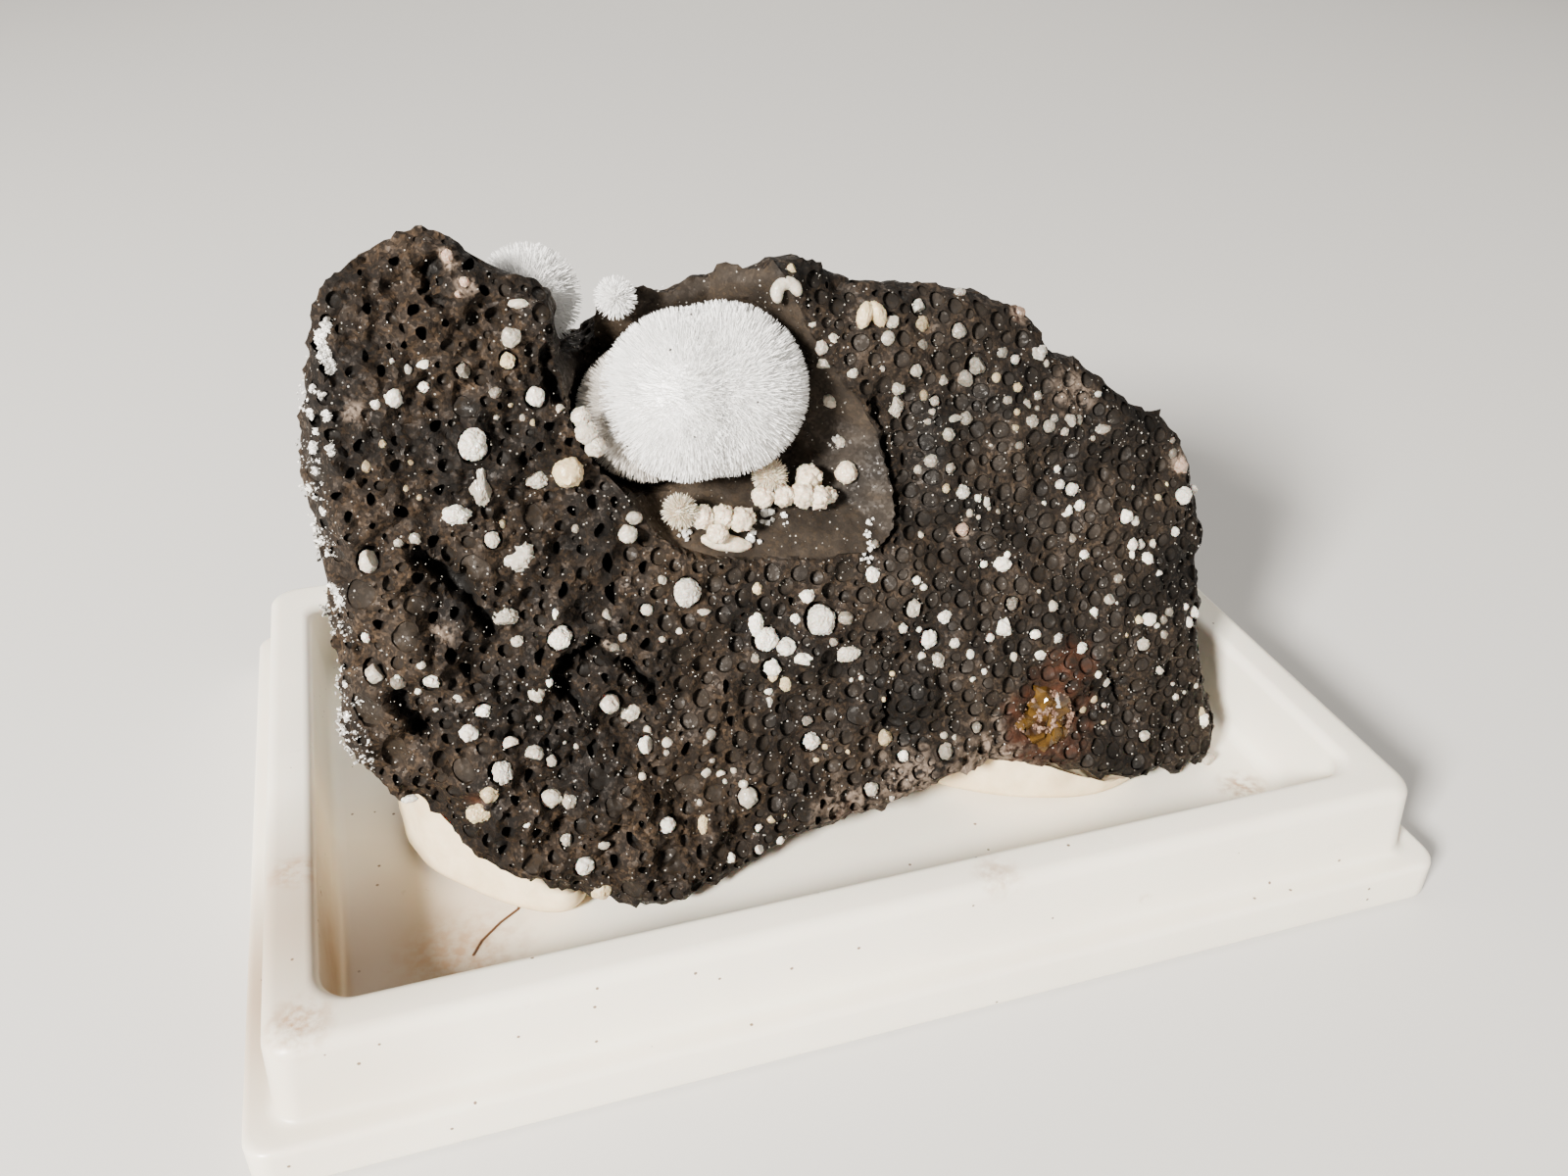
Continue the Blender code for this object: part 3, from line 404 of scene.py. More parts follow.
def pitRings(u, v, radius, kind, dice, stretch=1.0):
    look = pitKinds[kind]
    depth = radius * dice.uniform(*look["depth"])
    deepest = deepSide + dice.uniform(-0.7, 0.7)
    sides = 9 if radius < 0.3 else 12 if radius < 0.5 else 15 if radius < 0.8 else 22
    phase, other = dice.uniform(0.0, math.tau), dice.uniform(0.0, math.tau)
    circles = lobes(radius, dice) if kind == "hole" else [(0.0, 0.0, radius)]
    jitter = [dice.uniform(-0.4, 0.4) for _ in range(sides)]
    wide = stretch ** -0.5
    rings = []
    for share, down, rough, polish, deep in look["rings"][:-1]:
        ring = []
        for k in range(sides):
            turn = math.tau * k / sides
            uneven = math.sin(2 * turn + phase) + 0.6 * math.sin(3 * turn + other) + jitter[k]
            reach = share * lobedReach(turn, circles) * (1.0 + 0.6 * look["wobble"] * uneven)
            lean = math.cos(turn - deepest)
            drop = down * depth * (1.0 + look["tilt"] * lean * share)
            # painted shade: the pit's depth darkened, and a painted shadow near the rim on its deep side
            paintedShade = deep + (look["paintedShade"] * max(0.0, lean) if 0.8 < share < 1.0 else 0.0)
            spot = (u + wide * reach * math.cos(turn), v + wide * stretch * reach * math.sin(turn))
            ring.append((*spot, -drop, rough, polish, min(paintedShade, 1.0)))
        rings.append(ring)
    last = look["rings"][-1]
    rings.append([(u, v, -last[1] * depth, *last[2:])])
    reach = radius * (1.05 + look["wobble"]) * max(wide, wide * stretch)
    return {"u": u, "v": v, "reach": reach, "rings": rings}


class Places:
    # remembers round features in squares of 2 mm, to test quickly whether a new one fits
    def __init__(self, features=()):
        self.squares = {}
        for feature in features:
            self.add(feature["u"], feature["v"], feature["reach"])

    def add(self, u, v, reach):
        self.squares.setdefault((int(u // 2), int(v // 2)), []).append((u, v, reach))

    def fits(self, u, v, reach, spare):
        column, row = int(u // 2), int(v // 2)
        for i in (-1, 0, 1):
            for j in (-1, 0, 1):
                for a, b, other in self.squares.get((column + i, row + j), ()):
                    if math.hypot(u - a, v - b) < reach + other + spare:
                        return False
        return True


def scatterPits(features, box, recipe, allowed, seed):
    # larger pits are placed first; each gets a number of tries to find room
    dice = random.Random(seed)
    places = Places(features)
    wanted = []
    for kind, smallest, largest, count, room in recipe:
        for _ in range(count):
            wanted.append((smallest + (largest - smallest) * dice.random() ** 1.6, kind, room))
    wanted.sort(reverse=True)
    spots = [(dice.uniform(*box[:2]), dice.uniform(*box[2:])) for _ in range(len(wanted) * pitTries)]
    spots = np.array(spots)
    roomAt = allowed(spots[:, 0], spots[:, 1])
    placed = 0
    for index, (radius, kind, room) in enumerate(wanted):
        for n in range(index * pitTries, (index + 1) * pitTries):
            u, v = spots[n]
            if roomAt[n] > radius * 1.2 and places.fits(u, v, radius, room):
                feature = pitRings(u, v, radius, kind, dice)
                features.append(feature)
                places.add(u, v, radius * (1.0 + 0.5 * pitKinds[kind]["wobble"]))
                placed += 1
                break
    print("placed", placed, "pits of", len(wanted))


def cutSheet(loop, edgeGround, features, lines, box, spacing, seed, spareRoom):
    # a flat sheet with every pit's rings and every line cut into it
    # returns the points' places, what they carry, the triangles, and each loop point's new number
    places, info, edges = [], [], []

    def join(points, values, closed):
        start = len(places)
        places.extend(points)
        info.extend(values)
        count = len(points)
        edges.extend((start + k, start + k + 1) for k in range(count - 1))
        if closed:
            edges.append((start + count - 1, start))

    join(list(loop), [edgeGround] * len(loop), True)
    for feature in features:
        for ring in feature["rings"]:
            join([p[:2] for p in ring], [p[2:] for p in ring], len(ring) > 2)
    for points, ground in lines:
        join(points, [ground] * len(points), False)
    # the uneven ground between the features, in staggered rows
    apart = spacing * 0.866
    rows = int((box[3] - box[2]) / apart) + 1
    columns = int((box[1] - box[0]) / spacing) + 1
    rng = np.random.default_rng(seed)
    row, column = np.mgrid[0:rows, 0:columns]
    u = box[0] + (column + 0.5 * (row % 2)) * spacing + rng.uniform(-0.3, 0.3, row.shape) * spacing
    v = box[2] + row * spacing * 0.866 + rng.uniform(-0.3, 0.3, row.shape) * spacing
    keep = np.ones(row.shape, bool)
    for feature in features:
        if not feature["rings"]:
            continue
        reach = feature["reach"] + 0.25 * spacing
        r0 = max(0, int((feature["v"] - reach - box[2]) / apart) - 1)
        r1 = int((feature["v"] + reach - box[2]) / apart) + 3
        c0 = max(0, int((feature["u"] - reach - box[0]) / spacing) - 1)
        c1 = int((feature["u"] + reach - box[0]) / spacing) + 3
        part = (slice(r0, r1), slice(c0, c1))
        keep[part] &= np.hypot(u[part] - feature["u"], v[part] - feature["v"]) > reach
    u, v = u[keep], v[keep]
    room = spareRoom(u, v)
    u, v = u[room > 0.45 * spacing], v[room > 0.45 * spacing]
    for points, _ in lines:
        away = pathDistance(u, v, points) > 0.4 * spacing
        u, v = u[away], v[away]
    places.extend(zip(u, v))
    info.extend([plainGround] * len(u))
    spots, _, triangles, sources, _, _ = delaunay_2d_cdt([Vector(p) for p in places], edges, [], 1, 1e-6)
    outInfo, goneTo = [], {}
    for index, source in enumerate(sources):
        outInfo.append(info[source[0]] if source else (-0.1, 0.6, 0.2, 0.2))
        for s in source:
            goneTo[s] = index
    spots = np.array([(p.x, p.y) for p in spots])
    return spots, np.array(outInfo), np.array(triangles), [goneTo[k] for k in range(len(loop))]


# the basalt

# pits of each zone: kind, smallest and largest radius, how many, and the room kept between them
rockLook = {
    "faceSpacing": 0.215,
    "sideSpacing": 0.5,
    "backSpacing": 0.52,
    "thick": 17.0,
    "outlineStep": 0.3,
    "jag": 0.42,
    "edgeDrop": 0.9,
    "edgeWidth": 1.2,
    "leftEnds": -12.0,
    "discsStart": 5.5,
    "leftPits": (("floor", 0.6, 1.0, 14, 0.2), ("hole", 0.2, 0.52, 130, 0.2), ("cup", 0.16, 0.5, 250, 0.14)),
    "middlePits": (
        ("floor", 0.6, 0.9, 8, 0.1), ("disc", 0.3, 0.58, 420, 0.05), ("hole", 0.2, 0.48, 100, 0.1),
        ("cup", 0.18, 0.44, 300, 0.08),
    ),
    "rightPits": (
        ("disc", 0.34, 0.6, 900, 0.03), ("cup", 0.2, 0.4, 240, 0.05), ("hole", 0.2, 0.42, 60, 0.08),
    ),
    "sidePits": (("cup", 0.35, 0.9, 420, 0.15), ("hole", 0.3, 0.6, 160, 0.2)),
    "backPits": (("floor", 0.5, 1.2, 120, 0.2), ("cup", 0.3, 0.8, 460, 0.15), ("hole", 0.3, 0.6, 160, 0.2)),
}

# dark gaps that show in the photograph, each a path of pixels with its half width and depth in millimetres
ravines = (
    (((424, 566), (440, 578), (462, 590), (476, 604), (483, 618), (498, 638)), 0.42, 1.7),
    (((613, 658), (598, 668), (581, 674), (566, 692), (580, 706), (590, 720)), 0.4, 1.7),
    (((406, 706), (412, 722), (424, 742), (440, 752)), 0.42, 1.4),
    (((446, 262), (438, 276), (434, 292)), 0.35, 1.2),
    (((436, 304), (452, 309)), 0.2, 0.9),
    (((556, 366), (562, 384), (568, 402)), 0.4, 1.3),
    (((894, 410), (904, 446), (911, 486), (914, 528), (905, 560)), 0.22, 0.9),
    (((906, 706), (907, 738)), 0.22, 1.2),
    (((1132, 686), (1142, 702), (1152, 722)), 0.16, 0.9),
    (((892, 660), (903, 650)), 0.14, 0.8),
    (((528, 452), (536, 470)), 0.24, 1.1),
    (((640, 676), (652, 690), (668, 700)), 0.3, 1.2),
)

# round and narrow black holes that show in the photograph: x, y, radius in pixels, tallness
blackHoles = (
    (431, 340, 8, 1.1), (454, 330, 5, 1.3), (487, 385, 8, 1.0), (366, 456, 8, 1.2), (388, 456, 7, 1.5),
    (373, 363, 5, 1.8), (543, 442, 8, 2.4), (506, 431, 6, 1.0), (475, 432, 5, 1.0), (460, 668, 9, 1.0),
    (624, 606, 10, 1.8), (619, 574, 9, 1.6), (396, 756, 8, 1.2), (550, 668, 8, 1.4), (542, 736, 8, 1.7),
    (560, 760, 5, 1.8), (605, 765, 8, 1.6), (629, 763, 7, 1.8), (603, 590, 7, 1.3), (657, 580, 7, 1.0),
    (650, 682, 9, 1.0), (668, 716, 8, 1.3), (914, 698, 7, 1.9), (918, 724, 6, 2.4), (932, 767, 6, 2.6),
    (918, 671, 5, 1.1), (936, 676, 5, 1.3), (700, 765, 8, 1.1), (684, 640, 7, 1.0), (741, 700, 7, 1.4),
    (575, 601, 8, 1.2), (635, 740, 7, 1.3), (496, 262, 7, 1.6), (1004, 507, 6, 1.2), (922, 468, 6, 1.5),
    (895, 590, 5, 1.5), (1042, 575, 5, 2.0), (747, 737, 6, 1.4), (585, 545, 6, 1.2), (570, 560, 6, 1.4),
)

# the upper left is granular, with few pits
calmArea = (
    (336, 300), (430, 238), (478, 262), (484, 318), (446, 372), (440, 430), (468, 520), (420, 575),
    (338, 600), (322, 440),
)

# smooth floors of large bubbles: x, y, radius in pixels, tallness
bubbleFloors = (
    (398, 344, 19, 1.1), (508, 394, 12, 1.2), (398, 446, 14, 1.2), (412, 290, 13, 1.6), (545, 530, 12, 1.2),
    (375, 725, 16, 1.3), (402, 768, 15, 1.4), (640, 792, 11, 1.2), (512, 716, 9, 1.7),
)

# pinkish and rusty patches: x, y, radius in pixels, strength
palePatches = (
    (458, 264, 14, 1.0), (474, 292, 13, 1.0), (1010, 788, 60, 0.45), (930, 800, 45, 0.4),
    (860, 825, 40, 0.35), (1205, 470, 16, 0.45), (985, 541, 12, 0.7), (1045, 318, 14, 0.7),
    (450, 645, 14, 0.4), (620, 660, 8, 0.6), (360, 420, 16, 0.4), (1095, 400, 30, 0.3),
)
rustPatches = (
    (1068, 735, 62, 1.0), (1092, 680, 34, 0.9), (1040, 318, 12, 0.5), (488, 812, 14, 0.7),
    (866, 833, 16, 0.5),
)


def leftness(u, v):
    return easeStep(rockLook["leftEnds"] + 4.0, rockLook["leftEnds"] - 4.0, u + 0.2 * (v - 20.0))


def lumpHeight(points):
    # rounded grains of the broken stone: high in the middle of each cell, low where cells meet
    heights = []
    for p in points:
        near, _ = noise.voronoi(p)
        heights.append(min(near[1] - near[0], 0.5))
    return np.array(heights)


def middleRelief(u, v):
    left = leftness(u, v)
    coarse = noiseAt(u, v, 2.4, 21.0)
    ridges = 0.5 - np.abs(noiseAt(u, v, 1.3, 5.0))
    relief = (0.5 + 0.6 * left) * coarse + (0.35 + 0.5 * left) * (ridges - 0.35)
    relief += 0.65 * noiseAt(u, v, 4.6, 33.0)
    return np.where(insidePath(u, v, vugArea), 0.3, 1.0) * relief


def fineRelief(u, v):
    left = leftness(u, v)
    fine = (0.08 + 0.1 * left) * noiseAt(u, v, 0.6, 2.0) + (0.05 + 0.05 * left) * noiseAt(u, v, 0.3, 9.0)
    grains = lumpHeight(np.column_stack((u / 0.75, v / 0.75, np.full(len(u), 2.5))))
    grains = 0.3 * (grains - 0.25) * (0.4 + 0.9 * left)
    return np.where(insidePath(u, v, vugArea), 0.45, 1.0) * (fine + grains)


def groundHeight(u, v):
    return frontSurface(u, v) + middleRelief(u, v)


def groundAt(u, v):
    return groundHeight(np.array([u]), np.array([v]))[0]


def ravineDepth(u, v, paths):
    depth = np.zeros(len(u))
    wander = 0.5 * noiseAt(u, v, 1.0, 14.0) + 0.3 * noiseAt(u, v, 0.4, 4.0)
    for path, halfWidth, deepest in paths:
        share = 1.0 - (pathDistance(u, v, path) + wander) / (1.5 * halfWidth)
        depth = np.maximum(depth, deepest * easeStep(0.0, 0.75, share))
    return depth


def patchMask(u, v, patches, seed):
    mask = np.zeros(len(u))
    wander = 0.5 + 0.9 * noiseAt(u, v, 0.9, seed)
    for middleU, middleV, reach, strength in patches:
        near = 1.0 - np.hypot(u - middleU, v - middleV) / reach
        mask = np.maximum(mask, strength * np.clip(near * 1.6 + wander * (near > 0) - 0.5, 0.0, 1.0))
    return mask


def patchesOnFace(entries):
    found = pixelsToFace([e[:2] for e in entries])
    return [(u, v, e[2] * perPixel, e[3]) for e, (u, v, perPixel) in zip(entries, found)]


def edgeDrop(u, v):
    away = pathDistance(u, v, closedOutline)
    return rockLook["edgeDrop"] * (1.0 - np.minimum(away / rockLook["edgeWidth"], 1.0)) ** 2


def bodyRelief(points):
    relief = 0.5 * noiseSolid(points, 2.2, 3.0) + 0.3 * (0.5 - np.abs(noiseSolid(points, 1.1, 11.0)))
    return relief + 0.35 * (lumpHeight(points / 1.3) - 0.25)


def fineOutline(step, jag):
    ring = np.array(list(reversed(outline)))
    points = []
    for a, b in zip(ring, np.roll(ring, -1, axis=0)):
        count = max(1, round(np.hypot(*(b - a)) / step))
        side = np.array((-(b - a)[1], (b - a)[0])) / np.hypot(*(b - a))
        for k in range(count):
            p = a + (b - a) * k / count
            push = noise.noise((p[0] / 1.3, p[1] / 1.3, 3.3))
            push += 0.6 * noise.noise((p[0] / 0.5, p[1] / 0.5, 8.1))
            points.append(p + side * (jag * push))
    return np.array(points)


def backOutline(loop):
    # where each point of the outline lands on the back: drawn in, and raised so that the underside is level
    u, v = loop[:, 0], loop[:, 1]
    w = backSurface(u * 0.95, v)
    level = math.tan(faceLean) * -w * (1.0 - easeStep(2.0, 14.0, v))
    out = np.column_stack((u * 0.95, v + level - 1.2 * easeStep(30.0, 38.0, v), w))
    notch = (u > -14.6) & (u < -11.2) & (v > 34.0) & (v < 38.0)
    sill = np.maximum(v - 1.2 * easeStep(36.2, 38.0, v), 36.1)
    out[notch] = np.column_stack((u, sill, np.minimum(w, -11.5)))[notch]
    lobe = (u > -19.0) & (u < -14.1) & (v > 35.0)
    out[lobe] = np.column_stack((u, v - 0.15, np.full(len(u), lobeBack)))[lobe]
    return out


def namedPits(entries, kind, room, allowed):
    # pits at places read from the photograph
    found = pixelsToFace([e[:2] for e in entries])
    features = []
    for (x, y, size, tallness), (u, v, perPixel) in zip(entries, found):
        radius = size * perPixel * 1.08
        long = radius * math.sqrt(tallness)
        if allowed(np.array([u]), np.array([v]))[0] > 0.15 + long and room.fits(u, v, long, 0.03):
            features.append(pitRings(u, v, radius, kind, random.Random(x * 3 + y), tallness))
            room.add(u, v, long * 1.1)
    return features


def makeRockFace(loop, beadPlaces):
    loopList = [tuple(p) for p in loop]
    cracks = [([tuple(p[:2]) for p in pixelsToFace(path)], wide, deep) for path, wide, deep in ravines]

    def faceRoom(u, v):
        room = pathDistance(u, v, closedOutline) - 0.15
        room = np.minimum(room, pathDistance(u, v, vugRim) - 0.12)
        for path, wide, _ in cracks:
            room = np.minimum(room, pathDistance(u, v, path) - 0.8 * wide)
        room[insidePath(u, v, vugArea)] = -1.0
        room[~insidePath(u, v, outline)] = -1.0
        return room

    calmPath = [tuple(p[:2]) for p in pixelsToFace(calmArea)]

    def zoneRoom(low, high):
        def roomIn(u, v):
            zone = u + 0.2 * (v - 20.0) + 2.5 * noiseAt(u, v, 5.0, 6.0)
            calm = insidePath(u, v, calmPath) & (noiseAt(u, v, 0.8, 12.0) < 0.22)
            return np.where((zone > low) & (zone <= high) & ~calm, faceRoom(u, v), -1.0)
        return roomIn

    # beads keep their ground: only their own seats are cut under them
    taken = Places()
    features, seats = [], Places()
    for u, v, reach, kind in beadPlaces:
        cuts = kind != "none" and faceRoom(np.array([u]), np.array([v]))[0] > 1.15 * reach
        if cuts and seats.fits(u, v, reach * 1.1, 0.03):
            features.append(pitRings(u, v, reach, kind, random.Random(int(1000 * abs(u)))))
            seats.add(u, v, features[-1]["reach"])
        else:
            features.append({"u": u, "v": v, "reach": reach, "rings": []})
            seats.add(u, v, reach)
        taken.add(u, v, reach)
    features += namedPits(bubbleFloors, "floor", taken, faceRoom)
    features += namedPits(blackHoles, "hole", taken, faceRoom)
    box = (-30.6, 30.2, 0.0, 43.0)
    left, discs = rockLook["leftEnds"], rockLook["discsStart"]
    for key, low, high, start, end, seed in (
        ("leftPits", -50.0, left, box[0], left + 5.0, 31),
        ("middlePits", left, discs, left - 6.0, discs + 5.0, 32),
        ("rightPits", discs, 50.0, discs - 5.0, box[1], 35),
    ):
        scatterPits(features, (start, end, *box[2:]), rockLook[key], zoneRoom(low, high), seed)

    def groundRoom(u, v):
        inside = insidePath(u, v, loopList)
        return np.where(inside, pathDistance(u, v, closedOutline) - 0.12, -1.0)

    rimFine = finePath(vugRim, 0.3)[1:-1]
    innerFine = finePath(shiftedPath(vugRim, 0.13), 0.3)[1:-1]
    lines = [(rimFine, plainGround), (innerFine, (-0.02, 0.3, 1.0, 0.0))]
    spots, info, triangles, edge = cutSheet(
        loopList, plainGround, features, lines, box, rockLook["faceSpacing"], 41, groundRoom,
    )
    u, v = spots[:, 0], spots[:, 1]
    inVug = insidePath(u, v, vugArea)
    ravine = np.where(inVug, 0.0, ravineDepth(u, v, cracks))
    w = groundHeight(u, v) + info[:, 0] + fineRelief(u, v) * info[:, 1] - edgeDrop(u, v) - ravine
    points = np.column_stack((u, v, w))
    masks = {
        "polish": np.where(inVug, 2.0, info[:, 2]),
        # deep: painted shade in the pits and holes and along the ravines
        "deep": np.maximum(info[:, 3], easeStep(0.4, 1.1, ravine)),
        "pale": patchMask(u, v, patchesOnFace(palePatches), 17.0),
        "rust": patchMask(u, v, patchesOnFace(rustPatches), 19.0),
    }
    world = fromFace(points)
    middle = u[triangles].mean(axis=1) + 0.8 * noiseAt(v[triangles[:, 0]], v[triangles[:, 0]], 3.0, 1.0)
    for name, part in (("basaltFaceLeft", middle < -3.0), ("basaltFaceRight", middle >= -3.0)):
        used, numbers = np.unique(triangles[part], return_inverse=True)
        partMasks = {key: values[used] for key, values in masks.items()}
        faces = numbers.reshape(-1, 3)
        addPiece(name, world[used], faces, "brokenBasalt", ("basalt",), 42.0, partMasks)
    return points[edge]


def makeRockBody(loop, front):
    # the sides: a strip round the outline, s along it and t from front to back
    back = backOutline(loop)
    steps = np.hypot(*(np.roll(loop, -1, axis=0) - loop).T)
    along = np.concatenate(([0.0], np.cumsum(steps)))
    length, thick = along[-1], rockLook["thick"]
    softFront = smoothRing(front, 9)
    softBack = smoothRing(back, 5)
    sideRows = np.linspace(0.0, thick, 24)
    stripLoop = [(s, 0.0) for s in along] + [(length, t) for t in sideRows[1:-1]]
    stripLoop += [(s, thick) for s in along[::-1]] + [(0.0, t) for t in sideRows[1:-1][::-1]]
    sideFeatures = []

    def sideRoom(s, t):
        return np.minimum(np.minimum(s, length - s), np.minimum(t, thick - t)) - 0.3

    stripBox = (0.0, length, 0.0, thick)
    scatterPits(sideFeatures, stripBox, rockLook["sidePits"], sideRoom, 33)
    spots, stripInfo, stripFaces, _ = cutSheet(
        stripLoop, smoothGround, sideFeatures, [], stripBox, rockLook["sideSpacing"], 42, sideRoom,
    )
    stripFaces = stripFaces[:, ::-1]
    s, t = spots[:, 0], spots[:, 1]
    share = t / thick

    def ringAt(ring):
        closed = np.vstack((ring, ring[:1]))
        return np.column_stack([np.interp(s, along, closed[:, k]) for k in range(3)])

    near = np.maximum(0.0, 1.0 - t / 1.5)[:, None]
    far = np.maximum(0.0, 1.0 - (thick - t) / 1.5)[:, None]
    base = ringAt(softFront) * (1.0 - share)[:, None] + ringAt(softBack) * share[:, None]
    base += (ringAt(front) - ringAt(softFront)) * near + (ringAt(back) - ringAt(softBack)) * far
    strip = fromFace(base)
    across = np.linalg.norm(ringAt(back) - ringAt(front), axis=1)
    fade = np.minimum(1.0, np.minimum(t, thick - t) / 1.5) * easeStep(1.5, 7.0, across)
    bulge = 0.8 * noiseSolid(strip, 4.5, 7.0) + bodyRelief(strip) * stripInfo[:, 1]
    strip = strip + meshNormals(strip, stripFaces) * ((bulge + stripInfo[:, 0]) * fade)[:, None]

    # the back, with the step of the left lobe
    backLoop = [tuple(p[:2]) for p in back]
    backFeatures = []

    def backRoom(u, v):
        room = pathDistance(u, v, backLoop + backLoop[:1]) - 0.15
        room = np.minimum(room, pathDistance(u, v, ledgeRim) - 0.4)
        room[~insidePath(u, v, backLoop)] = -1.0
        return room

    backBox = (-29.5, 29.0, 2.0, 42.5)
    scatterPits(backFeatures, backBox, rockLook["backPits"], backRoom, 34)
    ledgeFine = finePath(ledgeRim, 0.5)[1:-1]
    ledgeOutFine = finePath(shiftedPath(ledgeRim, 0.2), 0.5)[1:-1]
    # a height of 9 only marks the line just outside the ledge
    lines = [(ledgeFine, smoothGround), (ledgeOutFine, (9.0, 0.0, 0.0, 0.0))]
    spots, info, triangles, edge = cutSheet(
        backLoop, smoothGround, backFeatures, lines, backBox, rockLook["backSpacing"], 43, backRoom,
    )
    u, v = spots[:, 0], spots[:, 1]
    w = backSurface(u, v)
    isOut = info[:, 0] > 1.0
    # a low mound runs round the ledge and fades into the back
    mound = -11.5 + 2.6 * easeStep(35.5, 41.0, v) + 0.8 * pathDistance(u, v, ledgeRim)
    w = np.where((u < -10.5) & ~insidePath(u, v, lobeArea), np.minimum(w, mound), w)
    w[pathDistance(u, v, ledgeRim) < 0.02] = lobeBack
    w[edge] = back[:, 2]
    away = pathDistance(u, v, backLoop + backLoop[:1])
    lift = bodyRelief(fromFace(np.column_stack((u, v, w)))) * info[:, 1] * np.minimum(1.0, away / 1.2)
    lift[insidePath(u, v, lobeArea)] *= 0.3
    rear = fromFace(np.column_stack((u, v, w - lift - np.where(isOut, 0.0, info[:, 0]))))
    points, faces = mergeParts([(strip, stripFaces), (rear, triangles[:, ::-1])])
    points[:, 2] = np.maximum(points[:, 2], faceFoot[2] + gap)
    everyInfo = np.vstack((stripInfo, info))
    # deep: painted shade in the pits of the sides and back
    masks = {"polish": everyInfo[:, 2] * 0.8, "deep": everyInfo[:, 3]}
    addPiece("basaltBody", points, faces, "brokenBasalt", ("basalt",), 42.0, masks)


def makeRock(beadPlaces):
    loop = fineOutline(rockLook["outlineStep"], rockLook["jag"])
    front = makeRockFace(loop, beadPlaces)
    makeRockBody(loop, front)


def meshNormals(points, triangles):
    a, b, c = (points[triangles[:, k]] for k in range(3))
    faceNormals = np.cross(b - a, c - a)
    normals = np.zeros_like(points)
    for k in range(3):
        np.add.at(normals, triangles[:, k], faceNormals)
    return normals / np.maximum(np.linalg.norm(normals, axis=1), 1e-9)[:, None]


def smoothRing(ring, width):
    out = np.zeros_like(ring)
    for k in range(-width, width + 1):
        out += np.roll(ring, k, axis=0)
    return out / (2 * width + 1)


def shiftedPath(path, offset):
    moved = [path[0]]
    for before, here, after in zip(path, path[1:], path[2:]):
        run = (Vector(after) - Vector(before)).normalized()
        moved.append((here[0] - run.y * offset, here[1] + run.x * offset))
    return moved + [path[-1]]


def finePath(path, step):
    points = []
    for a, b in zip(path, path[1:]):
        count = max(1, round(math.dist(a, b) / step))
        for k in range(count):
            t = k / count
            points.append((a[0] + (b[0] - a[0]) * t, a[1] + (b[1] - a[1]) * t))
    return points + [tuple(path[-1])]


# beads

def beadShape(radius, seed, level=3, grain=0.1, nodules=34, broken=None):
    # a ball built of many small crystals that meet in the middle, perhaps broken off on one side
    ways, faces = roundShape(level)
    rng = np.random.default_rng(seed)
    heads = rng.normal(size=(nodules, 3))
    heads /= np.linalg.norm(heads, axis=1)[:, None]
    near = ways @ heads.T
    away = np.arccos(np.clip(near.max(axis=1), -1.0, 1.0))
    hump = 1.0 - np.minimum(away / (math.sqrt(4.0 / nodules) * 1.1), 1.0) ** 1.6
    sizes = rng.uniform(0.5, 1.0, nodules)[near.argmax(axis=1)]
    wander = noiseOver(ways, 1.4, seed)
    reach = radius * (1.0 - grain + grain * hump * sizes + 0.1 * wander + 0.035 * rng.normal(size=len(ways)))
    points = ways * reach[:, None]
    if broken is not None:
        cut = np.array(broken) / np.linalg.norm(broken)
        over = points @ cut - radius * rng.uniform(0.35, 0.6)
        points[over > 0] -= np.outer(over[over > 0], cut)
    return points, faces


def spinAbout(points, turn):
    sine, cosine = math.sin(turn), math.cos(turn)
    return points @ np.array(((cosine, -sine, 0.0), (sine, cosine, 0.0), (0.0, 0.0, 1.0))).T


def addBead(name, node, shape, tint, sharp=50.0):
    points, faces = shape
    masks = {"beadTint": np.tile((*beadTints[tint], 1.0), (len(points), 1))}
    replaced = (node,) if node else ()
    addPiece(name, fromFace(points), faces, "phillipsiteGrains", replaced, sharp, masks)


def makeBeads(name, beads, coarser=0):
    # beads: (u, v, w, radius u, radius v, radius w, tint)
    parts, tints = [], []
    dice = random.Random(77)
    for index, (u, v, w, ru, rv, rw, tint) in enumerate(beads):
        broken = None
        if dice.random() < 0.3:
            broken = (dice.uniform(-1, 1), dice.uniform(-1, 1), dice.uniform(0.0, 0.8))
        level = (3 if max(ru, rv) < 0.75 else 4) - coarser
        grain = dice.uniform(0.1, 0.26)
        points, faces = beadShape(1.0, 13 * index, level, grain, dice.choice((18, 30, 46)), broken)
        stretch = np.array((ru, rv, rw)) * (dice.uniform(0.9, 1.08), dice.uniform(0.9, 1.08), 1.0)
        points = points * stretch + np.array((u, v, w))
        parts.append((fromFace(points), faces))
        shade = dice.uniform(0.6, 1.0)
        tints.append(np.tile((*(c * shade for c in tint), 1.0), (len(points), 1)))
    points, faces = mergeParts(parts)
    masks = {"beadTint": np.vstack(tints)}
    addPiece(name, points, faces, "phillipsiteGrains", (), None, masks)


beadTints = {
    "white": (0.90, 0.87, 0.80),
    "warm": (0.74, 0.64, 0.51),
    "milky": (0.58, 0.54, 0.47),
    "cream": (0.66, 0.54, 0.34),
    "grey": (0.25, 0.225, 0.19),
    "pink": (0.52, 0.37, 0.29),
}

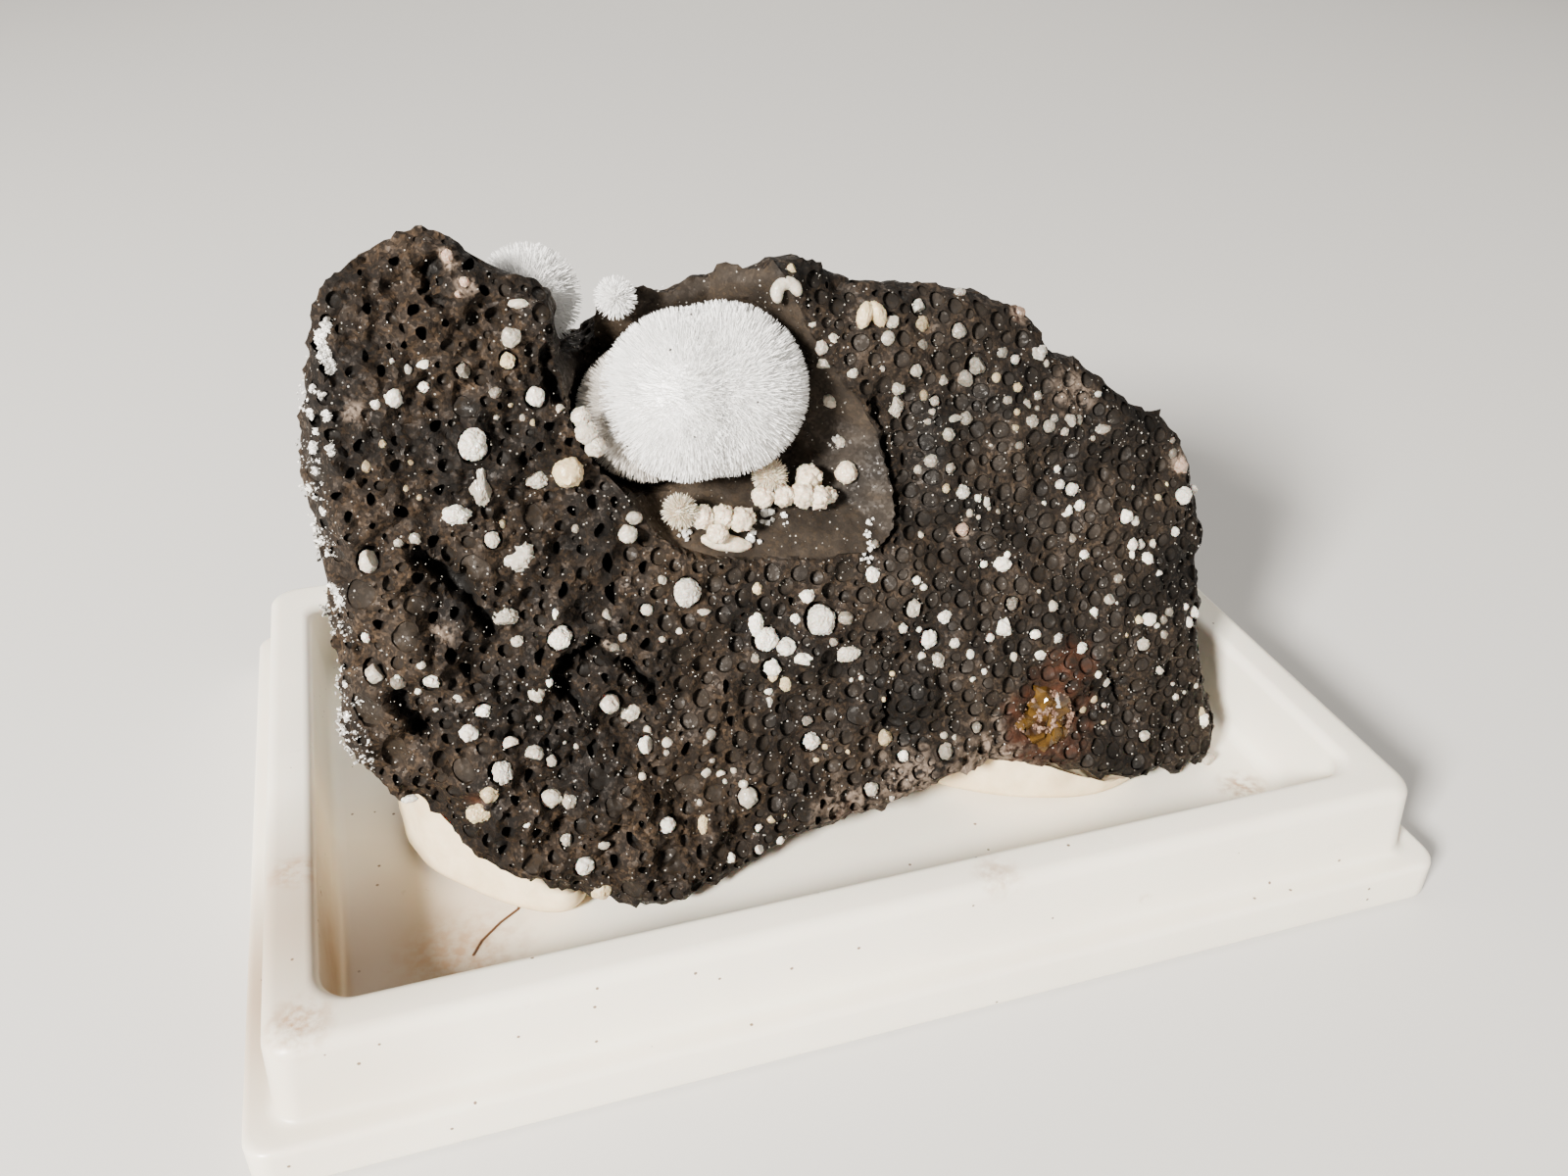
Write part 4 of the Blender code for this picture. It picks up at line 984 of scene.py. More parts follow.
# where each bead of the face shows in the photograph's 1600 by 1200 frame: x, y, half width and,
# if it is long, half height
faceBeads = {
    "white": (
        (483, 454, 17), (465, 526, 18, 12), (400, 405, 12), (383, 411, 7), (572, 651, 14), (406, 690, 5),
        (440, 694, 9), (493, 726, 9), (478, 746, 11), (512, 786, 12.5), (373, 652, 6), (700, 604, 15),
        (782, 652, 12), (771, 636, 9, 14), (802, 660, 11), (787, 681, 11), (817, 671, 11, 8), (785, 706, 5),
        (785, 717, 6), (838, 633, 16), (825, 609, 8), (813, 633, 8), (830, 758, 11), (892, 588, 9),
        (1024, 576, 10), (1007, 577, 5), (964, 628, 9), (921, 641, 6), (951, 654, 11), (933, 591, 5),
        (940, 598, 4), (1011, 651, 6), (1024, 639, 10), (681, 842, 9), (776, 847, 5), (597, 885, 11),
        (776, 869, 6), (746, 876, 6), (798, 860, 5), (660, 761, 9), (923, 772, 6), (1093, 499, 8),
        (1087, 520, 9), (1101, 515, 7), (1080, 494, 6), (1146, 526, 8), (1155, 532, 8), (1154, 555, 7),
        (1165, 556, 6), (1155, 566, 5), (1171, 571, 7), (1182, 585, 4), (1205, 505, 10), (1222, 501, 6),
        (1062, 668, 8), (1079, 651, 7), (1056, 647, 6), (1105, 662, 7), (1118, 687, 4), (1172, 631, 8),
        (1180, 638, 4), (1220, 624, 9), (1209, 619, 4), (1212, 635, 6), (1116, 625, 6), (1106, 566, 6),
        (981, 502, 8), (1061, 360, 10), (1036, 367, 6), (938, 314, 9), (981, 298, 8, 5), (975, 656, 7),
        (546, 405, 11), (433, 395, 7), (433, 372, 9, 5), (566, 625, 4, 7), (560, 694, 4, 7),
        (418, 818, 10, 5), (467, 711, 6), (1198, 542, 6), (1028, 566, 4), (1228, 735, 8),
    ),
    "milky": (
        (548, 486, 15), (491, 493, 14, 25), (502, 550, 9), (529, 569, 20, 17), (376, 574, 12),
        (516, 630, 13), (521, 344, 12), (529, 309, 12, 6), (528, 654, 7), (647, 529, 11, 8),
        (622, 717, 12), (646, 730, 11),
        (521, 759, 9), (545, 769, 11), (563, 815, 11), (581, 818, 8), (563, 777, 7), (548, 708, 10),
        (383, 687, 11), (717, 624, 10, 5), (660, 622, 7), (931, 620, 10), (958, 675, 9), (865, 667, 14, 9),
        (763, 813, 11), (889, 805, 9), (911, 815, 4), (848, 408, 9), (857, 451, 6), (1048, 413, 6),
        (1052, 430, 8), (1071, 435, 7), (1090, 429, 7), (1101, 429, 6), (1075, 427, 5), (1085, 440, 5),
        (1029, 408, 6), (999, 373, 11), (986, 387, 9), (977, 338, 8), (1023, 360, 8), (953, 409, 6),
        (988, 427, 8), (972, 427, 12, 5), (967, 443, 8), (917, 396, 8), (913, 415, 10, 12), (838, 355, 8),
        (851, 346, 7), (841, 372, 8), (870, 381, 8), (899, 376, 4), (934, 378, 7), (949, 470, 8),
        (969, 478, 6), (1125, 438, 10, 6), (1131, 611, 6), (1166, 657, 7), (1182, 684, 5), (1167, 750, 6),
        (904, 345, 8), (907, 328, 8), (615, 864, 9, 4), (580, 860, 7), (1129, 721, 3), (1232, 774, 8),
        (1229, 741, 5), (1060, 404, 6), (830, 330, 5), (571, 417, 6), (1208, 478, 6),
    ),
    "cream": (
        (518, 368, 9), (499, 808, 10), (489, 829, 14, 11), (616, 914, 12), (719, 843, 7, 13), (773, 601, 7),
        (802, 696, 8, 14), (904, 754, 9), (789, 690, 6), (940, 330, 9), (809, 274, 6), (1226, 727, 6),
    ),
    "grey": (
        (860, 629, 8), (824, 736, 7), (965, 767, 10), (1032, 615, 8), (406, 694, 8), (998, 743, 7),
        (473, 378, 8), (770, 671, 6), (939, 352, 8), (505, 400, 7), (700, 470, 4), (893, 555, 6),
        (1140, 590, 6), (588, 540, 5),
    ),
    "pink": ((1205, 475, 10), (985, 541, 8), (473, 288, 6), (456, 262, 7), (468, 300, 5), (1045, 318, 6)),
}


def placeFaceBeads():
    beads, places = [], []
    dice = random.Random(9)
    for tintName, entries in faceBeads.items():
        found = pixelsToFace([e[:2] for e in entries])
        u, v = found[:, 0], found[:, 1]
        edge = pathDistance(u, v, closedOutline)
        inside = insidePath(u, v, outline)
        heights = groundHeight(u, v)
        for k, entry in enumerate(entries):
            if not inside[k] and edge[k] > 0.5:
                print("left out a bead outside the rock", entry)
                continue
            perPixel = found[k][2]
            ru = entry[2] * perPixel
            rv = (entry[3] if len(entry) > 3 else entry[2]) * perPixel * 1.03
            deep = min(ru, rv)
            drop = 0.5 * (1.0 - min(edge[k] / 1.2, 1.0))
            height = heights[k] + dice.uniform(-0.4, 0.2) * deep - drop
            # painted shade: the beads high on the right are darker
            dull = 1.0 - 0.5 * easeStep(20.0, 27.0, v[k]) * easeStep(3.0, 8.0, u[k])
            tint = tuple(c * dull for c in beadTints[tintName])
            beads.append((u[k], v[k], height, ru, rv, deep * dice.uniform(0.75, 0.95), tint))
            wide = max(ru, rv)
            if wide < 1.35 * deep and dice.random() < 0.6:
                turn = dice.uniform(0.0, math.tau)
                aside = (u[k] + 0.07 * math.cos(turn), v[k] + 0.07 * math.sin(turn))
                places.append((*aside, wide + dice.uniform(0.06, 0.15), "seat"))
            else:
                places.append((u[k], v[k], 0.8 * wide, "none"))
    return beads, places


looseBeads = {
    # areas of the face: u from, u to, v from, v to, groups of small beads
    "areas": (
        (6.5, 27.0, 19.0, 37.0, 40), (-4.0, 27.0, 6.0, 19.0, 22), (-26.0, -17.0, 4.0, 35.0, 16),
        (-17.0, -4.0, 4.0, 21.0, 12),
    ),
    "radius": (0.16, 0.4),
    "tints": ("milky", "milky", "grey", "cream", "white"),
}


def placeLooseBeads(beads, places):
    # small beads in groups of one to four, kept clear of the others
    dice = random.Random(19)
    taken = [(b[0], b[1], max(b[3], b[4])) for b in beads]
    found = []
    for uLow, uHigh, vLow, vHigh, groups in looseBeads["areas"]:
        for _ in range(groups):
            u, v = dice.uniform(uLow, uHigh), dice.uniform(vLow, vHigh)
            tint = dice.choice(looseBeads["tints"])
            for _ in range(dice.choice((1, 1, 2, 3, 4))):
                radius = dice.uniform(*looseBeads["radius"])
                turn, away = dice.uniform(0.0, math.tau), dice.uniform(0.35, 1.3)
                spot = np.array((u + away * math.cos(turn), v + away * math.sin(turn)))
                clear = all(math.hypot(spot[0] - a, spot[1] - b) > 0.9 * (radius + c) for a, b, c in taken)
                row = spot[None]
                if not clear or not insidePath(row[:, 0], row[:, 1], outline)[0]:
                    continue
                if pathDistance(row[:, 0], row[:, 1], closedOutline)[0] < 0.8:
                    continue
                # painted shade: beads high on the face are darker
                dull = 1.0 - 0.45 * easeStep(20.0, 27.0, spot[1])
                height = groundHeight(row[:, 0], row[:, 1])[0] + dice.uniform(-0.3, 0.25) * radius
                deep = radius * dice.uniform(0.75, 0.95)
                long = radius * dice.uniform(0.9, 1.25)
                found.append((*spot, height, radius, long, deep, tuple(c * dull for c in beadTints[tint])))
                taken.append((*spot, radius))
                places.append((*spot, 0.8 * radius, "none"))
    return found


# the cavity's own beads, each (u, v, radius); the first of a cluster is a small spiny ball
frontCluster = (
    (-8.5, 25.1, 1.25), (-7.1, 24.5, 0.85), (-5.9, 24.4, 0.85), (-4.8, 24.1, 0.9), (-6.4, 23.5, 0.75),
)
rightCluster = (
    (-2.5, 26.4, 1.25), (-3.1, 25.2, 0.8), (-1.8, 25.1, 0.8), (-0.6, 25.0, 0.9), (0.4, 24.7, 0.85),
    (1.1, 24.7, 0.6), (0.0, 25.95, 0.95),
)
leftCrust = ((-13.8, 31.5, 0.62), (-13.6, 30.6, 0.72), (-13.2, 29.7, 0.66))
creamBead = (-14.9, 28.4, 0.95)
facetBead = (2.5, 25.9, 0.74)
rimBead = (-11.9, 24.3, 0.6)
horseshoe = {"place": (-0.75, 37.2), "bend": 0.62, "thick": 0.4, "start": -20.0, "sweep": 245.0}
doubleBead = (4.4, 35.5, 0.9)
amberPlace = (14.7, 7.5, 2.2)


def spreadWays(count, seed):
    # directions spread evenly over a sphere, each moved a little
    rng = np.random.default_rng(seed)
    k = np.arange(count) + 0.5
    high = 1.0 - 2.0 * k / count
    turn = k * math.pi * (3.0 - math.sqrt(5.0))
    flat = np.sqrt(1.0 - high * high)
    ways = np.column_stack((flat * np.cos(turn), flat * np.sin(turn), high))
    ways += rng.normal(size=ways.shape) * 0.9 / math.sqrt(count)
    return ways / np.linalg.norm(ways, axis=1)[:, None]


def needleParts(centre, radius, count, look, seed, others=()):
    # three-sided prisms with a short point; they fan out from the middle and reach the ball's full radius
    rng = np.random.default_rng(seed)
    centre = np.array(centre)
    ways = spreadWays(count, seed)
    keep = np.ones(count, bool)
    for ball in others:
        keep &= np.linalg.norm(centre + ways * radius - np.array(ball[:3]), axis=1) > ball[3] - 0.6
    ways = ways[keep]
    count = len(ways)
    # three shifted plain noises, because the ready-made vector noise differs from one session to the next
    tuft = np.column_stack([noiseOver(ways, 9.0, seed + 20.0 * k) for k in (1, 2, 3)])
    tall = rng.random(count) < look["tall"]
    short = np.where(tall, 0.12 * rng.random(count), look["uneven"] * (0.5 + 0.5 * rng.random(count)))
    tips = centre + ways * (radius - short)[:, None]
    lean = ways + tuft * 0.06 + rng.normal(size=(count, 3)) * look["spread"]
    lean /= np.linalg.norm(lean, axis=1)[:, None]
    length = look["length"] * rng.uniform(0.8, 1.1, count)
    side = np.cross(lean, rng.normal(size=(count, 3)))
    side /= np.linalg.norm(side, axis=1)[:, None]
    other = np.cross(lean, side)
    thick = look["thick"] * rng.uniform(0.6, 1.3, count) * np.where(tall, 1.1, 1.0)
    rings = []
    for back, width in ((length, 1.0), (thick * 2.5, 0.75)):
        for k in range(3):
            turn = math.tau * k / 3
            around = side * math.cos(turn) + other * math.sin(turn)
            rings.append(tips - lean * back[:, None] + around * (thick * width)[:, None])
    points = np.stack([*rings, tips], axis=1).reshape(-1, 3)
    shape = [(k, (k + 1) % 3, 3 + (k + 1) % 3) for k in range(3)]
    shape += [(k, 3 + (k + 1) % 3, 3 + k) for k in range(3)]
    shape += [(3 + k, 3 + (k + 1) % 3, 6) for k in range(3)]
    base = np.arange(count)[:, None] * 7
    faces = np.concatenate([base + np.array(f) for f in shape])
    away = points - centre
    distance = np.linalg.norm(away, axis=1)
    far = distance > radius
    points[far] = centre + away[far] * (radius / distance[far])[:, None]
    return points, faces


def coreParts(centre, radius, seed, level=5):
    ways, faces = roundShape(level)
    wander = noiseOver(ways, 6, seed)
    return np.array(centre) + ways * (radius * (1.0 + 0.02 * wander))[:, None], faces


needleLook = {
    "main": {
        "length": 1.5, "thick": 0.029, "uneven": 0.6, "tall": 0.34, "spread": 0.07, "core": 0.95,
        "count": 15000,
    },
    "back": {
        "length": 1.3, "thick": 0.032, "uneven": 0.7, "tall": 0.16, "spread": 0.08, "core": 1.0,
        "count": 8000,
    },
    "puff": {
        "length": 1.0, "thick": 0.030, "uneven": 0.45, "tall": 0.3, "spread": 0.09, "core": 0.8,
        "count": 1300,
    },
    "small": {
        "length": 0.9, "thick": 0.030, "uneven": 0.35, "tall": 0.35, "spread": 0.08, "core": 0.6,
        "count": 800,
    },
}


def needleBall(ball, kind, seed, level, others=()):
    look = needleLook[kind]
    return mergeParts([
        coreParts(ball[:3], ball[3] - look["core"], seed, level),
        needleParts(ball[:3], ball[3], look["count"], look, seed, others),
    ])


def makeNatrolite():
    balls = list(natroliteBalls.values())
    pieces = []
    for index, (name, ball) in enumerate(natroliteBalls.items()):
        shaded = index == 2
        hiding = [other for other in balls if other is not ball and (shaded or other is not balls[2])]
        # the left ball takes the painted-shade copy of the needles' material
        finish = "natrolitePaintedShade" if shaded else "natroliteNeedles"
        pieces.append((name, finish, "natrolite_main_ball", (ball, "main", 60 + index, 5, hiding)))
    for name, node, shape in (
        ("natroliteBallBack", "natrolite_back_ball", (backBall, "back", 71, 4)),
        ("natrolitePuff", "natrolite_puff", (puffBall, "puff", 72, 4)),
    ):
        pieces.append((name, "natroliteNeedles", node, shape))
    for name, finish, node, shape in pieces:
        points, faces = needleBall(*shape)
        addPiece(name, fromFace(points), faces, finish, (node,))


# dark specks caught in the needles, each a pixel
ballSpecks = ((678, 336), (709, 446), (773, 410), (705, 321), (684, 357), (640, 455))


def makeBallSpecks():
    eye = toFace([cameraPlace["position"]])[0]
    parts = []
    for index, (u, v, _) in enumerate(pixelsToFace(ballSpecks)):
        aim = np.array((u, v, groundAt(u, v))) - eye
        aim /= np.linalg.norm(aim)
        hits = []
        for ball in natroliteBalls.values():
            toBall = np.array(ball[:3]) - eye
            along = toBall @ aim
            miss = toBall @ toBall - along * along
            reach = ball[3] - 0.35
            if miss < reach * reach:
                hits.append(along - math.sqrt(reach * reach - miss))
        if hits:
            points, faces = chunkShape(1700 + index, 0.1)
            parts.append((points + eye + aim * min(hits), faces))
    points, faces = mergeParts(parts)
    addPiece("ballSpecks", fromFace(points), faces, "darkSpeck")


def clusterParts(beads, seed):
    parts = []
    for index, (u, v, radius) in enumerate(beads):
        w = restingHeight(u, v, radius)
        if index == 0:
            parts.append(needleBall((u, v, w, radius), "small", seed, 4))
        else:
            points, faces = beadShape(radius, seed + index, 4, 0.2, 60)
            parts.append((points + np.array((u, v, w)), faces))
    points, faces = mergeParts(parts)
    return pushOut(points), faces


def pushOut(points):
    # keeps the beads just clear of the big balls' needle tips
    for u, v, w, radius in natroliteBalls.values():
        centre = np.array((u, v, w))
        away = points - centre
        distance = np.linalg.norm(away, axis=1)
        reach = radius - 0.3
        near = distance < reach
        points[near] = centre + away[near] / distance[near][:, None] * reach
    return points


def makeVugBeads():
    for name, beads, node, seed in (
        ("phillipsiteFrontCluster", frontCluster, "phillipsite_front_cluster", 200),
        ("phillipsiteRightCluster", rightCluster, "phillipsite_right_cluster", 300),
    ):
        addBead(name, node, clusterParts(beads, seed), "warm")
    parts = []
    for index, (u, v, radius) in enumerate(leftCrust):
        points, faces = beadShape(radius, 400 + index, 4, 0.14, 40)
        parts.append((points + np.array((u, v, restingHeight(u, v, radius))), faces))
    addBead("phillipsiteLeftCrust", "phillipsite_left_crust", mergeParts(parts), "milky")
    for name, (u, v, radius), node, rise, tint in (
        ("phillipsiteCreamBead", creamBead, "phillipsite_cream_bead", 0.4, "cream"),
        ("phillipsiteFacetBead", facetBead, "phillipsite_facet_bead", 0.45, "warm"),
        ("phillipsiteRimBead", rimBead, "phillipsite_rim_bead", 0.45, "milky"),
    ):
        points, faces = beadShape(radius, int(radius * 1000), 4, 0.1, 44)
        place = (u, v, frontSurface([u], [v])[0] + radius * rise)
        addBead(name, node, (points + np.array(place), faces), tint)
    makeHorseshoe()
    makeDoubleBead()


def makeHorseshoe():
    u, v = horseshoe["place"]
    w = frontSurface([u], [v])[0] + 0.3
    rows, sides = 40, 20
    sections = []
    for k in range(rows):
        t = 2.0 * k / (rows - 1) - 1.0
        turn = math.radians(horseshoe["start"] + horseshoe["sweep"] * k / (rows - 1))
        taper = math.sqrt(max(0.02, 1.0 - abs(t) ** 5))
        ring = []
        for j in range(sides):
            roll = math.tau * j / sides
            grain = 1.0 + 0.07 * noise.noise((k * 0.5, math.cos(roll) * 2, math.sin(roll) * 2))
            thick = horseshoe["thick"] * taper * grain
            reach = horseshoe["bend"] + thick * math.cos(roll)
            ring.append((u + reach * math.cos(turn), v + reach * math.sin(turn), w + thick * math.sin(roll)))
        sections.append(ring)
    points, rings, faces = joinRings(sections)
    for ring, flip in ((rings[0], True), (rings[-1], False)):
        centre = len(points)
        points.append(tuple(np.mean([points[i] for i in ring], axis=0)))
        for a, b in zip(ring, ring[1:] + ring[:1]):
            faces.append((b, a, centre) if flip else (a, b, centre))
    addBead("phillipsiteHorseshoe", "phillipsite_horseshoe", (points, faces), "milky", 70.0)


def makeDoubleBead():
    u, v, radius = doubleBead
    w = faceSurface(np.array([u]), np.array([v]))[0] + 0.45
    parts = []
    for side in (-1, 1):
        points, faces = beadShape(1.0, 500 + side, 4, 0.06, 60)
        points = points * np.array((0.55, 0.95, 0.6)) * radius
        points = spinAbout(points, side * math.radians(22.0)) + np.array((u + side * 0.42, v, w))
        parts.append((points, faces))
    addBead("phillipsiteDoubleBead", "phillipsite_double_bead", mergeParts(parts), "cream", 60.0)


# small crystals

def crystalShape(kind):
    # a small six-sided point, a blade, or a chip with eight faces
    if kind == "point":
        ring = [(math.cos(k * math.tau / 6), math.sin(k * math.tau / 6)) for k in range(6)]
        points = [(x, y, z) for z in (-0.6, 0.5) for x, y in ring] + [(0.0, 0.0, 1.25)]
        faces = [(k, (k + 1) % 6, 6 + (k + 1) % 6) for k in range(6)]
        faces += [(k, 6 + (k + 1) % 6, 6 + k) for k in range(6)]
        faces += [(6 + k, 6 + (k + 1) % 6, 12) for k in range(6)]
    elif kind == "blade":
        square = ((-1, -1), (1, -1), (1, 1), (-1, 1))
        points = [(x, y * 0.35, z) for z in (-0.7, 0.8) for x, y in square] + [(0, 0, 1.2)]
        faces = [(0, 1, 5), (0, 5, 4), (1, 2, 6), (1, 6, 5), (2, 3, 7), (2, 7, 6), (3, 0, 4), (3, 4, 7)]
        faces += [(4, 5, 8), (5, 6, 8), (6, 7, 8), (7, 4, 8)]
    else:
        points = [(1, 0, 0), (0, 1, 0), (-1, 0, 0), (0, -1, 0), (0, 0, 1), (0, 0, -1)]
        faces = [(k, (k + 1) % 4, 4) for k in range(4)] + [((k + 1) % 4, k, 5) for k in range(4)]
    return np.array(points, float), np.array(faces)


def strewCrystals(places, outward, sizes, seed, kinds, slimness, tilt):
    # also tells, for every point made, which crystal it belongs to
    rng = np.random.default_rng(seed)
    shapes = [crystalShape(kind) for kind in kinds]
    parts, owners = [], []
    for index, (place, out, size) in enumerate(zip(places, outward, sizes)):
        points, faces = shapes[rng.integers(len(shapes))]
        axis = np.array(out) + rng.normal(size=3) * tilt
        axis /= np.linalg.norm(axis)
        side = np.cross(axis, rng.normal(size=3))
        side /= np.linalg.norm(side)
        turned = np.column_stack((side, np.cross(axis, side), axis))
        stretch = np.array((slimness, slimness, 1.0)) * size
        parts.append(((points * stretch) @ turned.T + np.array(place), faces))
        owners += [index] * len(points)
    points, faces = mergeParts(parts)
    return points, faces, owners


def addCrystals(name, crystals, tones, green, blue, place=fromFace):
    # green and blue: how much of each crystal's tone those colours keep
    points, faces, owners = crystals
    tints = np.column_stack((tones, tones * green, tones * blue, np.ones(len(tones))))[owners]
    addPiece(name, place(points), faces, "clearCrystals", (), None, {"beadTint": tints})


# materials

def newMaterial(name, **values):
    material = bpy.data.materials.new(name)
    material.use_nodes = True
    shader = material.node_tree.nodes["Principled BSDF"]
    for key, value in values.items():
        shader.inputs[key.replace("_", " ")].default_value = value
    return material.node_tree, shader


def addNode(tree, kind, **settings):
    node = tree.nodes.new(kind)
    for key, value in settings.items():
        setattr(node, key, value)
    return node


def connect(tree, source, target):
    tree.links.new(source, target)


def mixColors(tree, factor, first, second, mode="MIX"):
    node = addNode(tree, "ShaderNodeMix", data_type="RGBA", blend_type=mode)
    for key, value in (("Factor", factor), (6, first), (7, second)):
        socket = node.inputs[key]
        if isinstance(value, bpy.types.NodeSocket):
            connect(tree, value, socket)
        elif isinstance(value, tuple):
            socket.default_value = (*value, 1.0)
        else:
            socket.default_value = value
    return node.outputs[2]


def calculate(tree, operation, first, second=0.5, clamp=False):
    node = addNode(tree, "ShaderNodeMath", operation=operation, use_clamp=clamp)
    for socket, value in zip(node.inputs, (first, second)):
        if isinstance(value, bpy.types.NodeSocket):
            connect(tree, value, socket)
        else:
            socket.default_value = value
    return node.outputs[0]


def rangeOf(tree, value, low, high, newLow=0.0, newHigh=1.0):
    node = addNode(tree, "ShaderNodeMapRange")
    connect(tree, value, node.inputs["Value"])
    for key, number in (("From Min", low), ("From Max", high), ("To Min", newLow), ("To Max", newHigh)):
        node.inputs[key].default_value = number
    return node.outputs[0]


def objectPlace(tree):
    return addNode(tree, "ShaderNodeTexCoord").outputs["Object"]


def noiseNode(tree, place, sizeMillimetres, detail=3.0, roughness=0.55):
    node = addNode(tree, "ShaderNodeTexNoise")
    node.inputs["Scale"].default_value = 1000.0 / sizeMillimetres
    node.inputs["Detail"].default_value = detail
    node.inputs["Roughness"].default_value = roughness
    connect(tree, place, node.inputs["Vector"])
    return node.outputs["Fac"]


def cellsNode(tree, place, sizeMillimetres):
    # cells of a size: the random tones of each cell, and the distance from its middle
    node = addNode(tree, "ShaderNodeTexVoronoi")
    node.inputs["Scale"].default_value = 1000.0 / sizeMillimetres
    connect(tree, place, node.inputs["Vector"])
    tones = addNode(tree, "ShaderNodeSeparateColor")
    connect(tree, node.outputs["Color"], tones.inputs[0])
    return tones.outputs, node.outputs["Distance"]


def maskNode(tree, key, output="Fac"):
    return addNode(tree, "ShaderNodeAttribute", attribute_name=key).outputs[output]


def nearness(tree, place, spot, inner):
    # spot: middle, radius and strength; full strength within a share of the radius, none beyond it
    middle, radius, strength = spot
    reach = addNode(tree, "ShaderNodeVectorMath", operation="DISTANCE")
    connect(tree, place, reach.inputs[0])
    reach.inputs[1].default_value = tuple(c * millimetre for c in middle)
    edge = radius * millimetre
    return rangeOf(tree, reach.outputs["Value"], edge, inner * edge, 0.0, strength)


def bumpFrom(tree, shader, height, depthMillimetres, strength=1.0):
    node = addNode(tree, "ShaderNodeBump")
    node.inputs["Distance"].default_value = depthMillimetres * millimetre
    node.inputs["Strength"].default_value = strength
    connect(tree, height, node.inputs["Height"])
    connect(tree, node.outputs[0], shader.inputs["Normal"])


def makeGrainGroup():
    # speckle of two colours at a given size, and the height that goes with it
    group = bpy.data.node_groups.new("mineralGrain", "ShaderNodeTree")
    face = group.interface
    for name, way, kind in (
        ("Base", "INPUT", "Color"), ("Fleck", "INPUT", "Color"), ("Size", "INPUT", "Float"),
        ("Amount", "INPUT", "Float"), ("Color", "OUTPUT", "Color"), ("Height", "OUTPUT", "Float"),
    ):
        face.new_socket(name=name, in_out=way, socket_type="NodeSocket" + kind)
    enter = addNode(group, "NodeGroupInput")
    leave = addNode(group, "NodeGroupOutput")
    place = objectPlace(group)
    scaled = addNode(group, "ShaderNodeVectorMath", operation="SCALE")
    connect(group, place, scaled.inputs[0])
    perMetre = calculate(group, "DIVIDE", 1000.0, enter.outputs["Size"])
    connect(group, perMetre, scaled.inputs["Scale"])
    cloud = addNode(group, "ShaderNodeTexNoise")
    cloud.inputs["Scale"].default_value = 1.0
    cloud.inputs["Detail"].default_value = 4.0
    cloud.inputs["Roughness"].default_value = 0.62
    connect(group, scaled.outputs[0], cloud.inputs["Vector"])
    cells = addNode(group, "ShaderNodeTexVoronoi")
    cells.inputs["Scale"].default_value = 1.3
    connect(group, scaled.outputs[0], cells.inputs["Vector"])
    spread = rangeOf(group, cloud.outputs["Fac"], 0.38, 0.68)
    factor = calculate(group, "MULTIPLY", spread, enter.outputs["Amount"], True)
    color = mixColors(group, factor, enter.outputs["Base"], enter.outputs["Fleck"])
    hollows = calculate(group, "MULTIPLY", cells.outputs["Distance"], 0.5)
    height = calculate(group, "SUBTRACT", cloud.outputs["Fac"], hollows)
    connect(group, color, leave.inputs["Color"])
    connect(group, height, leave.inputs["Height"])
    return group


def useGrain(tree, group, base, fleck, size, amount):
    node = addNode(tree, "ShaderNodeGroup")
    node.node_tree = group
    for key, value in (("Base", base), ("Fleck", fleck)):
        if isinstance(value, bpy.types.NodeSocket):
            connect(tree, value, node.inputs[key])
        else:
            node.inputs[key].default_value = (*value, 1.0)
    node.inputs["Size"].default_value = size
    node.inputs["Amount"].default_value = amount
    return node.outputs["Color"], node.outputs["Height"]


basaltColors = {
    "matrix": (0.0068, 0.0051, 0.0039),
    "matrixTan": (0.0168, 0.0124, 0.0091),
    "polished": (0.0084, 0.0066, 0.0051),
    "polishedFleck": (0.0158, 0.0126, 0.0098),
    # painted shade for pits, holes and ravines
    "paintedHollowShade": (0.004, 0.0035, 0.003),
    "paleGrain": (0.40, 0.30, 0.23),
    "rust": (0.060, 0.020, 0.009),
    "fleck": (0.5, 0.47, 0.42),
    # these multiply the colour below them
    "darkGrain": (0.58, 0.56, 0.54),
    "lightGrain": (2.9, 2.7, 2.4),
    "brownEnd": (1.3, 1.16, 0.98),
}


